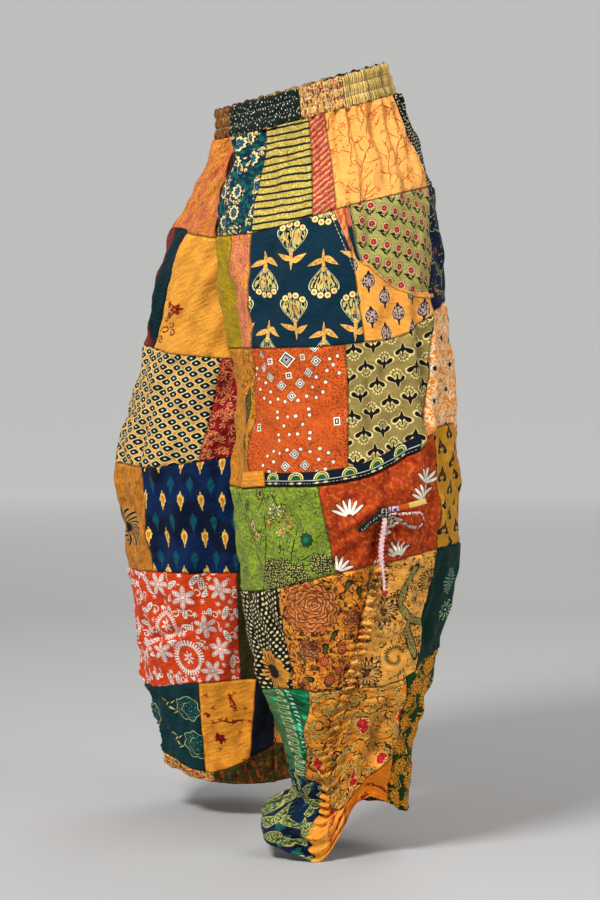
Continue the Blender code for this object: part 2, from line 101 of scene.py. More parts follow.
def studio():
    away = -direction(CAMERA_AZIMUTH)
    side = Vector((-away.y, away.x, 0.0))
    turns = [math.radians(a) for a in range(0, 91, 6)]
    profile = [(PAPER_FRONT, 0.0)]
    for turn in turns:
        rise = BACKDROP_CURVE * (1 - math.cos(turn))
        profile.append((BACKDROP_AT + BACKDROP_CURVE * math.sin(turn), rise))
    profile.append((BACKDROP_AT + BACKDROP_CURVE, BACKDROP_HEIGHT))
    points = []
    for reach, height in profile:
        for across in (-STUDIO_WIDTH / 2, STUDIO_WIDTH / 2):
            place = away * reach + side * across
            points.append((place.x, place.y, FLOOR + height))
    faces = [(2 * i, 2 * i + 1, 2 * i + 3, 2 * i + 2) for i in range(len(profile) - 1)]
    mesh = bpy.data.meshes.new("studio")
    mesh.from_pydata(points, [], faces)
    mesh.shade_smooth()
    paper = bpy.data.materials.new("studio_paper")
    paper.use_nodes = True
    tree = paper.node_tree
    shader = tree.nodes["Principled BSDF"]
    shader.inputs["Roughness"].default_value = 0.9
    grain = tree.nodes.new("ShaderNodeTexNoise")
    grain.inputs["Scale"].default_value = 1.5
    tone = tree.nodes.new("ShaderNodeMapRange")
    tone.inputs["To Min"].default_value, tone.inputs["To Max"].default_value = PAPER_TONES
    tree.links.new(grain.outputs["Fac"], tone.inputs["Value"])
    tree.links.new(tone.outputs["Result"], shader.inputs["Base Color"])
    # painted light: the far end of the paper glows a little, in place of lamps of its own that would light
    # the backdrop
    place = tree.nodes.new("ShaderNodeTexCoord")
    reach = tree.nodes.new("ShaderNodeVectorMath")
    reach.operation = "DOT_PRODUCT"
    reach.inputs[1].default_value = away
    glow = tree.nodes.new("ShaderNodeMapRange")
    glow.inputs["From Min"].default_value = GLOW_FROM
    glow.inputs["From Max"].default_value = GLOW_TO
    glow.inputs["To Max"].default_value = GLOW
    tree.links.new(place.outputs["Object"], reach.inputs[0])
    tree.links.new(reach.outputs["Value"], glow.inputs["Value"])
    tree.links.new(glow.outputs["Result"], shader.inputs["Emission Strength"])
    shader.inputs["Emission Color"].default_value = (1.0, 1.0, 0.985, 1.0)
    mesh.materials.append(paper)
    floor = bpy.data.objects.new("studio", mesh)
    bpy.context.collection.objects.link(floor)


def camera():
    lens = bpy.data.cameras.new("camera")
    lens.lens = LENS
    lens.sensor_width = SENSOR
    eye = bpy.data.objects.new("camera", lens)
    bpy.context.collection.objects.link(eye)
    eye.location = direction(CAMERA_AZIMUTH) * CAMERA_DISTANCE + Vector((0, 0, CAMERA_HEIGHT))
    eye.rotation_euler = (math.pi / 2 - CAMERA_PITCH, 0.0, CAMERA_AZIMUTH + CAMERA_YAW)
    bpy.context.scene.camera = eye


def lamps():
    aim = Vector((0, 0, -0.45))
    for name, (azimuth, elevation, distance, size, watts) in LAMPS.items():
        light = bpy.data.lights.new(name, "AREA")
        light.shape = "DISK"
        light.size = size
        light.energy = watts
        lamp = bpy.data.objects.new(name, light)
        toward = direction(math.radians(azimuth), math.radians(elevation))
        lamp.location = aim + toward * distance
        lamp.rotation_mode = "QUATERNION"
        lamp.rotation_quaternion = toward.to_track_quat("Z", "Y")
        bpy.context.collection.objects.link(lamp)
    world = bpy.data.worlds.new("room")
    world.use_nodes = True
    sky = world.node_tree.nodes["Background"]
    sky.inputs["Color"].default_value = (1.0, 0.99, 0.97, 1.0)
    sky.inputs["Strength"].default_value = ROOM_LIGHT
    bpy.context.scene.world = world
    bpy.context.scene.view_settings.view_transform = "Standard"


studio()
camera()
lamps()

# Drawstrings. Each shin has a flat cotton tape that runs in the channel below and is tied in a
# small bow at its mouth: a knot, two loops, a short end and a long one that hangs to a knotted tip.
SIDES = {1: "left", -1: "right"}
BAND_MIDDLE = -0.017       # nominal height of the waistband's middle, which is at z 0
BAND_HEIGHT = 0.042
SEAM = 0.0003              # gap between two pieces of the solid
KNEE = -0.500
HEM = -0.970
BACK_TILT = 0.28           # the waist is higher at the back
SIDE_TILT = 0.08           # and on the wearer's left

# Level sections of a leg in millimetres: nominal height, centre x and y, and the radius to the
# outer side, the inner side, the front and the back. Other tables have millimetres and degrees.
HIP_SECTIONS = [
    [30, 0, -8, 137, 137, 106, 93], [0, 0, -3, 138, 138, 104, 100], [-30, 0, 1, 141, 141, 107, 108],
    [-60, 6, 2, 146, 146, 112, 117], [-100, 24, 0, 154, 142, 124, 129], [-160, 52, -6, 158, 135, 138, 141],
    [-220, 82, -10, 147, 132, 144, 146], [-300, 112, -14, 134, 138, 140, 142],
    [-400, 138, -20, 134, 142, 141, 142], [-500, 155, -30, 141, 146, 146, 143],
]
LEFT_SHIN_SECTIONS = [
    [-600, 157, -30, 135, 142, 142, 138], [-700, 158, -32, 121, 128, 126, 126],
    [-800, 158, -28, 100, 102, 100, 102], [-860, 158, -26, 83, 86, 84, 85],
    [-910, 158, -24, 73, 76, 76, 75], [-970, 158, -22, 67, 76, 74, 68],
]
RIGHT_SHIN_SECTIONS = [
    [-600, 157, -24, 138, 142, 142, 138], [-700, 157, -20, 134, 132, 135, 128],
    [-800, 157, -17, 122, 118, 122, 116], [-900, 156, -13, 106, 102, 105, 100],
    [-970, 155, -10, 98, 96, 96, 94],
]
SECTIONS = {
    1: np.array(HIP_SECTIONS + LEFT_SHIN_SECTIONS) / 1000,
    -1: np.array(HIP_SECTIONS + RIGHT_SHIN_SECTIONS) / 1000,
}
# Hem lines: angle round the leg, height of the hem, and how far it flares over the foot.
# The angle is 0 at the front, 90 at the outer side and 180 at the back.
HEM_LINE = {
    1: np.array([
        [-180, -935, 0], [-120, -940, 4], [-75, -946, 18], [-32, -955, 40], [0, -965, 52], [20, -978, 40],
        [34, -985, 26], [46, -956, 12], [58, -922, 4], [75, -906, 0], [90, -912, 0], [120, -930, 2],
        [180, -935, 0],
    ]) / [1, 1000, 1000],
    -1: np.array([
        [-180, -922, 0], [-58, -937, 2], [30, -920, 3], [100, -916, 0], [180, -922, 0],
    ]) / [1, 1000, 1000],
}
PUFF_TOP = -0.915          # the break above the left foot, and where the flare starts
PUFF_DROP = 0.028
# Drawstring channel down the shin: height and angle.
CHANNEL_PATH = np.array([
    [-500, 76], [-600, 75.5], [-660, 71.5], [-710, 67], [-760, 59], [-800, 50], [-840, 39], [-880, 31.5],
    [-970, 34],
]) / [1000, 1]
CHANNEL_TOP = -0.553
BOW_HEIGHT = -0.538
# Largest folds: angle and height of the upper end, of the lower end, width and depth.
# A negative depth is a trough.
FOLDS = {
    1: [
        [-12, -120, -22, -500, 20, -6], [30, -60, 22, -300, 18, -5], [62, -50, 50, -220, 16, -5],
        [84, -300, 78, -520, 16, -6], [100, -200, 96, -520, 18, 6], [60, -520, 48, -780, 18, -10],
        [86, -520, 92, -660, 15, -8], [45, -500, 62, -600, 16, 7], [-20, -550, 5, -800, 20, -7],
        [90, -660, 52, -900, 16, -8], [104, -700, 84, -950, 18, 7], [-30, -700, 12, -930, 16, 6],
        [140, -150, 150, -550, 22, -7], [170, -300, 162, -620, 22, 6], [205, -400, 190, -800, 22, -8],
        [130, -600, 150, -920, 20, -7], [235, -500, 220, -920, 20, -6], [255, -480, 262, -750, 20, 4],
    ],
    -1: [
        [10, -100, 2, -360, 18, -5], [45, -60, 55, -380, 20, -6], [35, -360, 20, -560, 20, 6],
        [-45, -500, -50, -800, 18, -7], [-62, -620, -66, -900, 14, -8], [12, -550, 4, -800, 20, -5],
        [45, -860, -15, -840, 14, -6], [60, -540, 52, -800, 18, -9], [92, -540, 88, -800, 18, -8],
        [-15, -700, 20, -900, 18, 5], [140, -120, 152, -500, 22, -7], [172, -280, 160, -600, 22, 6],
        [208, -420, 196, -820, 22, -8], [128, -580, 148, -900, 20, -7], [238, -520, 226, -900, 20, -6],
        [252, -460, 258, -720, 20, 4],
    ],
}
FOLD_UNITS = np.array([1, 1000, 1, 1000, 1000, 1000])   # degrees, and millimetres in a metre
FOLD_CLEAR = 0.030         # folds fade this close to the plane between the legs
CHANNEL_SINK = 0.007       # how far the drawn-up channel pulls the cloth in
CHANNEL_SINK_WIDTH = 0.013
CHANNEL_PUFF = 0.006       # and how far the cloth puffs out beside it
CHANNEL_PUFF_AT = 0.034


def pair(first, second):
    """Both in one array, as the last axis."""
    return np.stack(np.broadcast_arrays(first, second), axis=-1)


def read_table(table, at):
    """Values of a table's later columns at places in its first, on smooth curves."""
    rows = table[np.argsort(table[:, 0])]
    keys, values = rows[:, 0], rows[:, 1:]
    slopes = np.gradient(values, keys, axis=0)
    low = np.clip(np.searchsorted(keys, at) - 1, 0, len(keys) - 2)
    step = (keys[low + 1] - keys[low])[..., None]
    t = np.clip((at - keys[low])[..., None] / step, 0.0, 1.0)
    rise = 3 * t**2 - 2 * t**3
    return (
        (1 - rise) * values[low]
        + rise * values[low + 1]
        + (t**3 - 2 * t**2 + t) * step * slopes[low]
        + (t**3 - t**2) * step * slopes[low + 1]
    )


def ramp(x, start, end):
    """0 before start, 1 after end, and smooth between."""
    t = np.clip((x - start) / (end - start), 0.0, 1.0)
    return t * t * (3 - 2 * t)


def wrapped(angle):
    return (angle + 180.0) % 360.0 - 180.0


def fold_row(side, angle, height, folds):
    """Sum of soft ridges and troughs that run from one place on the leg to another."""
    radius = read_table(SECTIONS[side], height)[..., 2]
    out = np.zeros_like(height)
    for top_angle, top, low_angle, low, width, depth in folds / FOLD_UNITS:
        along = np.clip((height - top) / (low - top), -0.5, 1.5)
        middle = top_angle + (low_angle - top_angle) * along
        across = np.radians(wrapped(angle - middle)) * radius
        ends = ramp(along, -0.1, 0.3) * (1 - ramp(along, 0.7, 1.1))
        if abs(low - top) < 0.05:
            # a fold that runs round the leg
            t = np.clip((angle - top_angle) / (low_angle - top_angle), 0.0, 1.0)
            across = height - (top + (low - top) * t)
            ends = ramp(t, 0.0, 0.3) * (1 - ramp(t, 0.7, 1.0))
        out = out + depth * ends * np.exp(-((across / width) ** 2))
    return out


def from_channel(side, angle, height):
    """Distance round the leg from the middle of its drawstring channel."""
    middle = read_table(CHANNEL_PATH, height)[..., 0]
    return np.radians(wrapped(angle - middle)) * read_table(SECTIONS[side], height)[..., 2]


def fold_depth(side, angle, height):
    """How far the large folds and the drawn-up channel move the cloth out from its section."""
    across = from_channel(side, angle, height)
    drawn = 1 - ramp(height, CHANNEL_TOP - 0.02, CHANNEL_TOP + 0.05)
    sunk = CHANNEL_SINK * np.exp(-((across / CHANNEL_SINK_WIDTH) ** 2))
    beside = (np.abs(across) - CHANNEL_PUFF_AT) / CHANNEL_SINK_WIDTH
    puffed = CHANNEL_PUFF * np.exp(-(beside**2)) * (1 - ramp(height, -0.90, -0.95))
    return fold_row(side, angle, height, FOLDS[side]) + drawn * (puffed - sunk)


def leg_points(side, angle, height, lift=0.0, folded=True):
    """Points of a leg's outer surface, at angles round it and nominal heights down it."""
    angle, height = np.broadcast_arrays(np.asarray(angle, float), np.asarray(height, float))
    cx, cy, r_out, r_in, r_front, r_back = np.moveaxis(read_table(SECTIONS[side], height), -1, 0)
    hem, flare = np.moveaxis(read_table(HEM_LINE[side], wrapped(angle)), -1, 0)
    lift = lift + flare * (1 - ramp(height, PUFF_TOP - PUFF_DROP, PUFF_TOP))
    sine, cosine = np.sin(np.radians(angle)), np.cos(np.radians(angle))
    across = np.where(sine > 0, r_out, r_in)
    if folded:
        from_middle = cx + across * sine
        lift = lift + fold_depth(side, angle, height) * ramp(from_middle, 0.0, FOLD_CLEAR)
    x = cx + (across + lift) * sine
    y = cy - (np.where(cosine > 0, r_front, r_back) + lift) * cosine
    x = np.maximum(x, SEAM / 2)
    above_knee = np.clip((height - KNEE) / -KNEE, 0.0, None)
    below_knee = np.clip((KNEE - height) / (KNEE - HEM), 0.0, 1.0)
    z = height + above_knee * (BACK_TILT * y + SIDE_TILT * side * x)
    z = z + below_knee**3 * (hem - HEM) - BAND_MIDDLE
    return np.stack([side * x, y, z], axis=-1)


STRING_WIDTH = 0.0070
STRING_THICKNESS = 0.0016
STRING_SIDES = 12
# Strings of the bow from the knot, in its own directions: round the leg to the back, up and out.
BOW_STRINGS = {
    "long_end": [
        [0, -6.2, 2], [-2, -14, 6], [-5, -26, 8.5], [-7, -40, 9.5], [-7.5, -55, 10], [-5, -70, 10],
        [-3, -85, 10], [-3, -98, 10],
    ],
    "short_end": [[5.7, 3.8, 1.5], [18, 6, 7], [34, 10, 9.5], [52, 14, 8]],
    "back_loop": [
        [5.7, -4.2, -0.2], [20, -10, 5], [34, -18, 6.5], [44, -18, 7], [49, -9, 8], [45, -1, 9.5],
        [34, -0.5, 10.5], [20, -1, 8.5], [6.2, -0.2, 4],
    ],
    "front_loop": [
        [-5.7, -4, -0.5], [-18, -10, 4], [-29, -16.5, 5.5], [-35, -18.5, 8.5], [-30, -15.5, 11.5],
        [-18, -7.5, 10.5], [-5.8, 0.5, 4.5],
    ],
}
# How the flat of each tape is turned, from facing out (0) to edge-on (90), at its start and end,
# what it ends in, and how far along it starts to narrow into its knotted tip.
STRING_LIE = {
    "long_end": [0, 55, "knot", 0.62],
    "short_end": [10, -15, "bare", 1.0],
    "back_loop": [60, 75, "object", 1.0],
    "front_loop": [15, 25, "object", 1.0],
}


DYE_DEPTH = 1.26           # over 1, the dyes are deeper and their darks darker


def dyed(colour):
    """A dye's red, green and blue for a shader, from its colour on a screen, as 0xRRGGBB."""
    parts = [colour >> shift & 255 for shift in (16, 8, 0)]
    return [((c / 255 + 0.055) / 1.055) ** 2.4 if c > 10 else c / 255 / 12.92 for c in parts]


# Cottons. A print is drawn with nodes, in millimetres from a patch's own corner, on the cloth that
# is in hand: cloth holds its nodes, its place and the colour that is printed so far.
cloth = SimpleNamespace()


def plug(node, inputs):
    """Links or sets a node's inputs, which are given by name or number."""
    for key, value in inputs.items():
        if isinstance(value, bpy.types.NodeSocket):
            cloth.tree.links.new(value, node.inputs[key])
        else:
            node.inputs[key].default_value = value


def node(kind, inputs, **settings):
    made = cloth.tree.nodes.new(f"ShaderNode{kind}")
    for name, value in settings.items():
        setattr(made, name, value)
    plug(made, inputs)
    return made


def rgb(colour):
    made = node("RGB", {})
    made.outputs[0].default_value = (*dyed(colour), 1)
    return made.outputs[0]


def number(operation, *values):
    return node("Math", dict(enumerate(values)), operation=operation).outputs[0]


def vector(operation, *values, **named):
    made = node("VectorMath", {**dict(enumerate(values)), **named}, operation=operation)
    return made.outputs["Value" if operation == "LENGTH" else "Vector"]


def on_map(layer):
    """Place on the cloth in millimetres, from one of its UV maps."""
    return vector("SCALE", node("UVMap", {}, uv_map=layer).outputs["UV"], Scale=100)


def sloped(value, slope, start):
    return number("MULTIPLY_ADD", value, slope, start)


def cycle(value, pitch):
    return number("FLOORED_MODULO", value, pitch)


def wave(angle, count):
    return number("COSINE", number("MULTIPLY", angle, count))


def joined(operation, first, *more):
    for value in more:
        first = number(operation, first, value)
    return first


def both(*masks):
    return joined("MULTIPLY", *masks)


def moved(place, x=0, y=0, turn=0, across=1, down=1):
    """The place as seen from x, y, turned, with lengths in units of across and down."""
    return node("Mapping", {
        "Vector": place,
        "Location": (x, y, 0),
        "Rotation": (0, 0, math.radians(turn)),
        "Scale": (across, down, 1),
    }, vector_type="TEXTURE").outputs["Vector"]


def at(*where):
    """The cloth's own place, moved in that way."""
    return moved(cloth.place, *where)


def apart(place):
    made = node("SeparateXYZ", {0: place})
    return made.outputs[0], made.outputs[1]


def together(x, y):
    return node("CombineXYZ", {0: x, 1: y}).outputs[0]


def repeat(width, height, drop=0, turn=0, x=0, y=0, flip=False):
    """Place within a repeat of the print, from its middle. Every second column is dropped."""
    u, v = apart(at(x, y, turn))
    columns = number("DIVIDE", u, width)
    odd = cycle(number("FLOOR", columns), 2)
    across = sloped(number("FRACT", columns), width, -width / 2)
    rows = number("FRACT", number("DIVIDE", sloped(odd, drop * height, v), height))
    down = sloped(rows, height, -height / 2)
    if flip:
        down = both(down, sloped(odd, -2, 1))
    return together(across, down)


def rows(width, height, shift, x=0, y=0, turn=0, flip=False):
    """Place within slanting rows of motifs. Each row starts that shift further along."""
    u, v = apart(at(x, y, turn))
    row = number("DIVIDE", v, height)
    along = number("DIVIDE", sloped(number("FLOOR", row), -shift, u), width)
    across = sloped(number("FRACT", along), width, -width / 2)
    down = sloped(number("FRACT", row), height, -height / 2)
    place = moved(together(across, down), 0, 0, -turn)
    if flip:
        odd = cycle(number("FLOOR", along), 2)
        u, v = apart(place)
        place = together(u, both(v, sloped(odd, -2, 1)))
    return place


def ovals(place, *rows):
    """Distance to the nearest oval, 1 on its edge: x, y, half width, half height and turn."""
    return joined("MINIMUM", *[
        vector("LENGTH", moved(place, x, y, turn, across, down))
        for x, y, across, down, turn in rows])


def drops(place, *rows):
    """Distance to the nearest drop, pointed at its lower end. Its row is as an oval's."""
    found = []
    for x, y, across, down, turn in rows:
        u, v = apart(moved(place, x, y, turn, across, down))
        u = number("DIVIDE", u, sloped(v, -0.42, 0.58))
        found.append(vector("LENGTH", together(u, v)))
    return joined("MINIMUM", *found)


def polar(place, x=0, y=0):
    """Distance and angle from x, y."""
    around = moved(place, x, y)
    u, v = apart(around)
    return vector("LENGTH", around), number("ARCTAN2", v, u)


def flower(place, radius, petals, depth=0.3, x=0, y=0):
    """Distance in units of a rosette's radius, which swells at each petal."""
    away, angle = polar(place, x, y)
    reach = sloped(wave(angle, petals), radius * depth, radius * (1 - depth))
    return number("DIVIDE", away, reach)


def diamond(place, x=0, y=0):
    """Distance from x, y to the edge of a square on its corner, as its half diagonal."""
    u, v = apart(moved(place, x, y))
    return number("ADD", number("ABSOLUTE", u), number("ABSOLUTE", v))


def rays(place, x, y, inner, outer, count):
    """A mask of fine rays between two radii."""
    away, angle = polar(place, x, y)
    near = fade(away, inner - 0.4, inner + 0.4)
    far = fade(away, outer + 0.4, outer - 0.4)
    return both(fade(wave(angle, count), 0, 0.5), near, far)


def petals(place, count, out, across, down):
    """Distance to the nearest of a ring of ovals, whose middles are that far out."""
    away, angle = polar(place)
    step = 2 * math.pi / count
    turn = number("SUBTRACT", cycle(angle, step), step / 2)
    u = number("MULTIPLY", away, number("COSINE", turn))
    v = number("MULTIPLY", away, number("SINE", turn))
    return ovals(together(u, v), (out, 0, down, across, 0))


def spiral(place, x, y, radius, turn=0, inner=0.35):
    """Distance from a curl that winds once inward round x, y, and the angle along it."""
    away, angle = polar(moved(place, x, y, turn))
    reach = sloped(angle, radius * (1 - inner) / (2 * math.pi), radius * (1 + inner) / 2)
    return number("ABSOLUTE", number("SUBTRACT", away, reach)), angle


def noise(size, detail=2, stretch=(1, 1), turn=0):
    spread = at(0, 0, turn, size * stretch[0], size * stretch[1])
    made = node("TexNoise", {"Vector": spread, "Scale": 1, "Detail": detail}, noise_dimensions="2D")
    return made.outputs["Fac"]


def cells(spread, uneven):
    inputs = {"Vector": spread, "Scale": 1, "Randomness": uneven}
    return node("TexVoronoi", inputs, voronoi_dimensions="2D").outputs


def scatter(pitch, uneven=0.6, x=0, y=0, spin=False):
    """Place within scattered motifs, from the middle of each, turned at random if spin is true."""
    spread = at(x, y, 0, pitch, pitch)
    cell = cells(spread, uneven)
    away = vector("SCALE", vector("SUBTRACT", spread, cell["Position"]), Scale=pitch)
    if spin:
        angle = number("MULTIPLY", apart(cell["Color"])[0], 6.283)
        turned = node("VectorRotate", {"Vector": away, "Angle": angle}, rotation_type="Z_AXIS")
        away = turned.outputs["Vector"]
    return away


def specks(pitch, uneven=0.6, x=0, y=0, stretch=1):
    """Distance in millimetres to the nearest of many scattered specks."""
    cell = cells(at(x, y, 0, pitch, pitch * stretch), uneven)
    return number("MULTIPLY", cell["Distance"], pitch)


def fade(value, start, end):
    """0 at start, 1 at end, and smooth between."""
    return node("MapRange", {
        "Value": value,
        "From Min": min(start, end),
        "From Max": max(start, end),
        "To Min": 0 if start < end else 1,
        "To Max": 1 if start < end else 0,
    }, interpolation_type="SMOOTHSTEP").outputs["Result"]


def within(field, edge=1, soft=0.1):
    return fade(field, edge + soft, edge - soft)


def ring(field, edge, width, soft=0.06):
    """1 in a band of that width round the edge."""
    return within(number("ABSOLUTE", number("SUBTRACT", field, edge)), width, soft)


def dotted(edge, soft, *where, **more):
    """A mask of scattered specks, whose radius is edge."""
    return within(specks(*where, **more), edge, soft)


def patchy(start, end, *where, **more):
    """A mask of uneven clouds: 0 where the noise is at start, 1 where it is at end."""
    return fade(noise(*where, **more), start, end)


def wavy(value, depth, *where, **more):
    """A value made uneven by that depth of noise."""
    return sloped(noise(*where, **more), depth, value)


def lines(size, width, detail=1, turn=0, stretch=(1, 1)):
    """Thin curling lines: a contour of the noise, about width millimetres thick."""
    thick = width / size
    return ring(noise(size, detail, stretch, turn), 0.5, 0.36 * thick, 0.22 * thick)


def ink(colour, *masks):
    """Prints a colour where all masks are 1. A mask that is a number is the ink's strength."""
    inputs = {"Factor": both(*masks), 6: cloth.colour, 7: rgb(colour)}
    cloth.colour = node("Mix", inputs, data_type="RGBA").outputs[2]


def fill(field, *layers):
    """Prints a motif's colours, one on another: each reaches to an edge, with a softness."""
    for edge, soft, colour, *strength in layers:
        ink(colour, within(field, edge, soft), *strength)


def sewn(rough):
    """Finishes the cloth: uneven dye, slubs, painted seam, crease and wrinkle shade, worn edges, weave and
    crumple.
    """
    to_seam = number("MINIMUM", *apart(on_map("edge")))
    slub = noise(1.5, 1)
    cloud = noise(15, 3)
    crumple_bump_and_shade = noise(7, 2, (2.4, 0.8), 24)
    painted_wrinkle_shade = ring(noise(16, 2.5, (1.5, 0.7), 32), 0.5, 0.004, 0.022)
    shade = sloped(cloud, 2.6 * cloth.mottle, 1 - 1.3 * cloth.mottle)
    shade = sloped(slub, 0.44, number("SUBTRACT", shade, 0.22))
    # painted shade: the crumple noise that also raises the bump darkens and lightens the colour, as light
    # on fine creases does
    shade = sloped(crumple_bump_and_shade, 0.30, number("SUBTRACT", shade, 0.15))
    # painted shade: thin dark wrinkle lines, here and there, that the mesh and the bump do not have
    shade = sloped(both(painted_wrinkle_shade, patchy(0.44, 0.60, 34, 1)), -0.26, shade)
    # painted shade: the cloth darkens within about 2 mm of each seam and stitch row, as shade in a seam's
    # ditch
    painted_seam_shade = fade(to_seam, 1.9, 0.5)
    worn = both(ring(to_seam, 3, 1, 0.7), fade(cloud, 0.42, 0.62))
    shade = both(shade, sloped(painted_seam_shade, -0.45, 1), sloped(worn, 0.16, 1))
    coloured = vector("SCALE", cloth.colour, Scale=shade)
    deep = node("Gamma", {"Color": coloured, "Gamma": DYE_DEPTH})
    height = sloped(crumple_bump_and_shade, 1.8, number("MULTIPLY", slub, 0.3))
    weave = node("Bump", {"Strength": 0.7, "Distance": 0.0014, "Height": height})
    plug(cloth.tree.nodes["Principled BSDF"], {
        "Base Color": deep.outputs["Color"],
        "Roughness": rough,
        "Sheen Weight": 0.03,
        "Sheen Roughness": 0.6,
        "Specular IOR Level": 0.15,
        "Normal": weave.outputs["Normal"],
    })


PRINTS = {}


def print_cloth(draw, name, ground, mottle, *settings, rough=0.86):
    """Makes a cotton, prints it with the function draw, and keeps it under its name."""
    material = bpy.data.materials.new(name)
    material.use_nodes = True
    cloth.tree = material.node_tree
    cloth.place = on_map("print")
    cloth.ground = ground
    cloth.colour = rgb(ground)
    cloth.mottle = mottle
    draw(*settings)
    sewn(rough)
    PRINTS[name] = material


def printed(ground, mottle=0.1, rough=0.86):
    """Prints a cotton with the function below, and names it as that function."""
    def make(draw):
        print_cloth(draw, draw.__name__, ground, mottle, rough=rough)
        return draw
    return make


def smooth_route(points, count):
    """A Catmull-Rom curve through the route's own points, which are in millimetres."""
    p = np.array(points) / 1000
    p = np.concatenate([2 * p[:1] - p[1:2], p, 2 * p[-1:] - p[-2:-1]])
    route = []
    for place in np.linspace(0.0, len(points) - 1 - 1e-9, count):
        k = int(place)
        t = place - k
        a, b, c, d = p[k:k + 4]
        route.append(
            0.5 * (2 * b + (c - a) * t + (2 * a - 5 * b + 4 * c - d) * t**2
                   + (3 * b - a - 3 * c + d) * t**3)
        )
    return np.array(route)


NO_EDGE = 0.05             # distance to the edge where a piece has none that shows


def cloth_piece(name, grids, materials, thickness=0.0, weld=1e-6):
    """One object from grids of points, each with its print and edge places and its material."""
    points, faces, slots, prints, edges = [], [], [], [], []
    start = 0
    for grid in grids:
        rows, columns = grid["points"].shape[:2]
        points.append(grid["points"].reshape(-1, 3))
        prints.append(grid["print"].reshape(-1, 2))
        edges.append(grid.get("edge", np.full((rows, columns, 2), NO_EDGE)).reshape(-1, 2))
        i, j = np.meshgrid(np.arange(rows - 1), np.arange(columns - 1), indexing="ij")
        corner = start + (i * columns + j).ravel()
        around = [corner, corner + columns, corner + columns + 1, corner + 1]
        if grid.get("mirrored"):
            around = around[::-1]
        faces.append(np.stack(around, axis=1))
        slots.append(np.full(len(corner), grid.get("material", 0)))
        start += rows * columns
    faces = np.concatenate(faces)
    mesh = bpy.data.meshes.new(name)
    mesh.from_pydata(np.concatenate(points).tolist(), [], faces.tolist())
    for layer, values in (("print", prints), ("edge", edges)):
        uv = mesh.uv_layers.new(name=layer)
        per_corner = np.concatenate(values)[faces.ravel()] * 10.0
        uv.data.foreach_set("uv", per_corner.astype(np.float32).ravel())
    for material in materials:
        mesh.materials.append(material)
    mesh.polygons.foreach_set("material_index", np.concatenate(slots).astype(np.int32))
    if weld:
        shape = bmesh.new()
        shape.from_mesh(mesh)
        bmesh.ops.remove_doubles(shape, verts=shape.verts, dist=weld)
        shape.to_mesh(mesh)
        shape.free()
    mesh.shade_smooth()
    piece = bpy.data.objects.new(name, mesh)
    bpy.context.collection.objects.link(piece)
    if thickness:
        wall = piece.modifiers.new("cloth", "SOLIDIFY")
        wall.thickness = thickness
        wall.offset = -1.0
    return piece


def tape_rings(route, flat_way, thin_from):
    """Sections of a flat tape along a route, whose width follows flat_way."""
    along = np.gradient(route, axis=0)
    along /= np.linalg.norm(along, axis=1)[:, None]
    face = np.cross(along, flat_way)
    face /= np.linalg.norm(face, axis=1)[:, None]
    width_way = np.cross(face, along)
    share = np.linspace(0.0, 1.0, len(route))
    thin = ramp(share, thin_from, thin_from + 0.12) if thin_from < 1 else np.zeros_like(share)
    half_width = (STRING_WIDTH / 2) * (1 - 0.42 * thin)
    half_thick = (STRING_THICKNESS / 2) * (1 + 1.1 * thin)
    turns = np.linspace(0.0, 2 * math.pi, STRING_SIDES + 1) - math.pi / 2
    wide = np.sign(np.cos(turns)) * np.abs(np.cos(turns)) ** 0.6
    deep = np.sign(np.sin(turns)) * np.abs(np.sin(turns)) ** 0.8
    rings = (
        route[:, None]
        + width_way[:, None] * (half_width[:, None] * wide)[..., None]
        + face[:, None] * (half_thick[:, None] * deep)[..., None]
    )
    length = np.concatenate([[0.0], np.cumsum(np.linalg.norm(np.diff(route, axis=0), axis=1))])
    return rings, np.cumsum(np.abs(np.gradient(wide))) * STRING_WIDTH / 4, length


def string_piece(name, route, flat_way, thin_from, material):
    rings, across, length = tape_rings(route, flat_way, thin_from)
    caps = [np.repeat(end[None], rings.shape[1], axis=1) for end in (route[:1], route[-1:])]
    rings = np.concatenate([caps[0], rings, caps[1]])
    length = np.concatenate([length[:1], length, length[-1:]])
    grid = {"points": rings, "print": pair(across, length[:, None])}
    return cloth_piece(name, [grid], [material])


def knot_piece(name, place, frame_ways, radii, turns, material):
    """A lump of tape wound over itself: grooves run slantwise round it."""
    rings, sides = 20, 28
    tilt = np.linspace(0.0, math.pi, rings + 1)[:, None]
    turn = np.linspace(0.0, 2 * math.pi, sides + 1)[None, :]
    groove = 1 + 0.10 * np.sin(turns * (turn + 0.9 * np.cos(tilt))) * np.sin(tilt)
    shape = np.stack([
        np.sin(tilt) * np.cos(turn) * groove,
        np.cos(tilt) + 0 * turn,
        np.sin(tilt) * np.sin(turn) * groove,
    ], axis=-1)
    grid = {
        "points": place + (shape * radii) @ frame_ways,
        "print": pair(turn * radii[0], tilt * radii[1]),
        "mirrored": np.linalg.det(frame_ways) > 0,
    }
    return cloth_piece(name, [grid], [material])


@printed(0xEECDCD)
def tape_pink():
    cell = repeat(4.2, 5, drop=0.5)
    fill(ovals(cell, (0, 0, 1.1, 1.4, 20)), (1, 0.2, 0xB02842))
    fill(ovals(cell, (0.2, 0.2, 0.5, 0.6, 20)), (1, 0.2, 0x3C283C))


@printed(0xECCD80)
def tape_cream():
    _, along = apart(cloth.place)
    ink(0xDE7032, fade(along, 27, 24))
    ink(0xE8D6E2, fade(along, 13, 11))
    ink(0x784682, fade(along, 13, 11), patchy(0.52, 0.6, 2))


@printed(0x163830)
def tape_green():
    across, _ = apart(cloth.place)
    dots = dotted(0.6, 0.25, 3.6, 0.5)
    ink(0xEBEEE4, dots)
    ink(0xE8ECE2, ring(cycle(across, 7), 0.4, 0.7, 0.3))


@printed(0xE8D8CD)
def tape_mixed():
    _, along = apart(cloth.place)
    patch = patchy(0.5, 0.56, 3.4, 2)
    ink(0x20483C, patch)
    ink(0xD6684A, patchy(0.56, 0.62, 2.4, 2), fade(along, 30, 40))


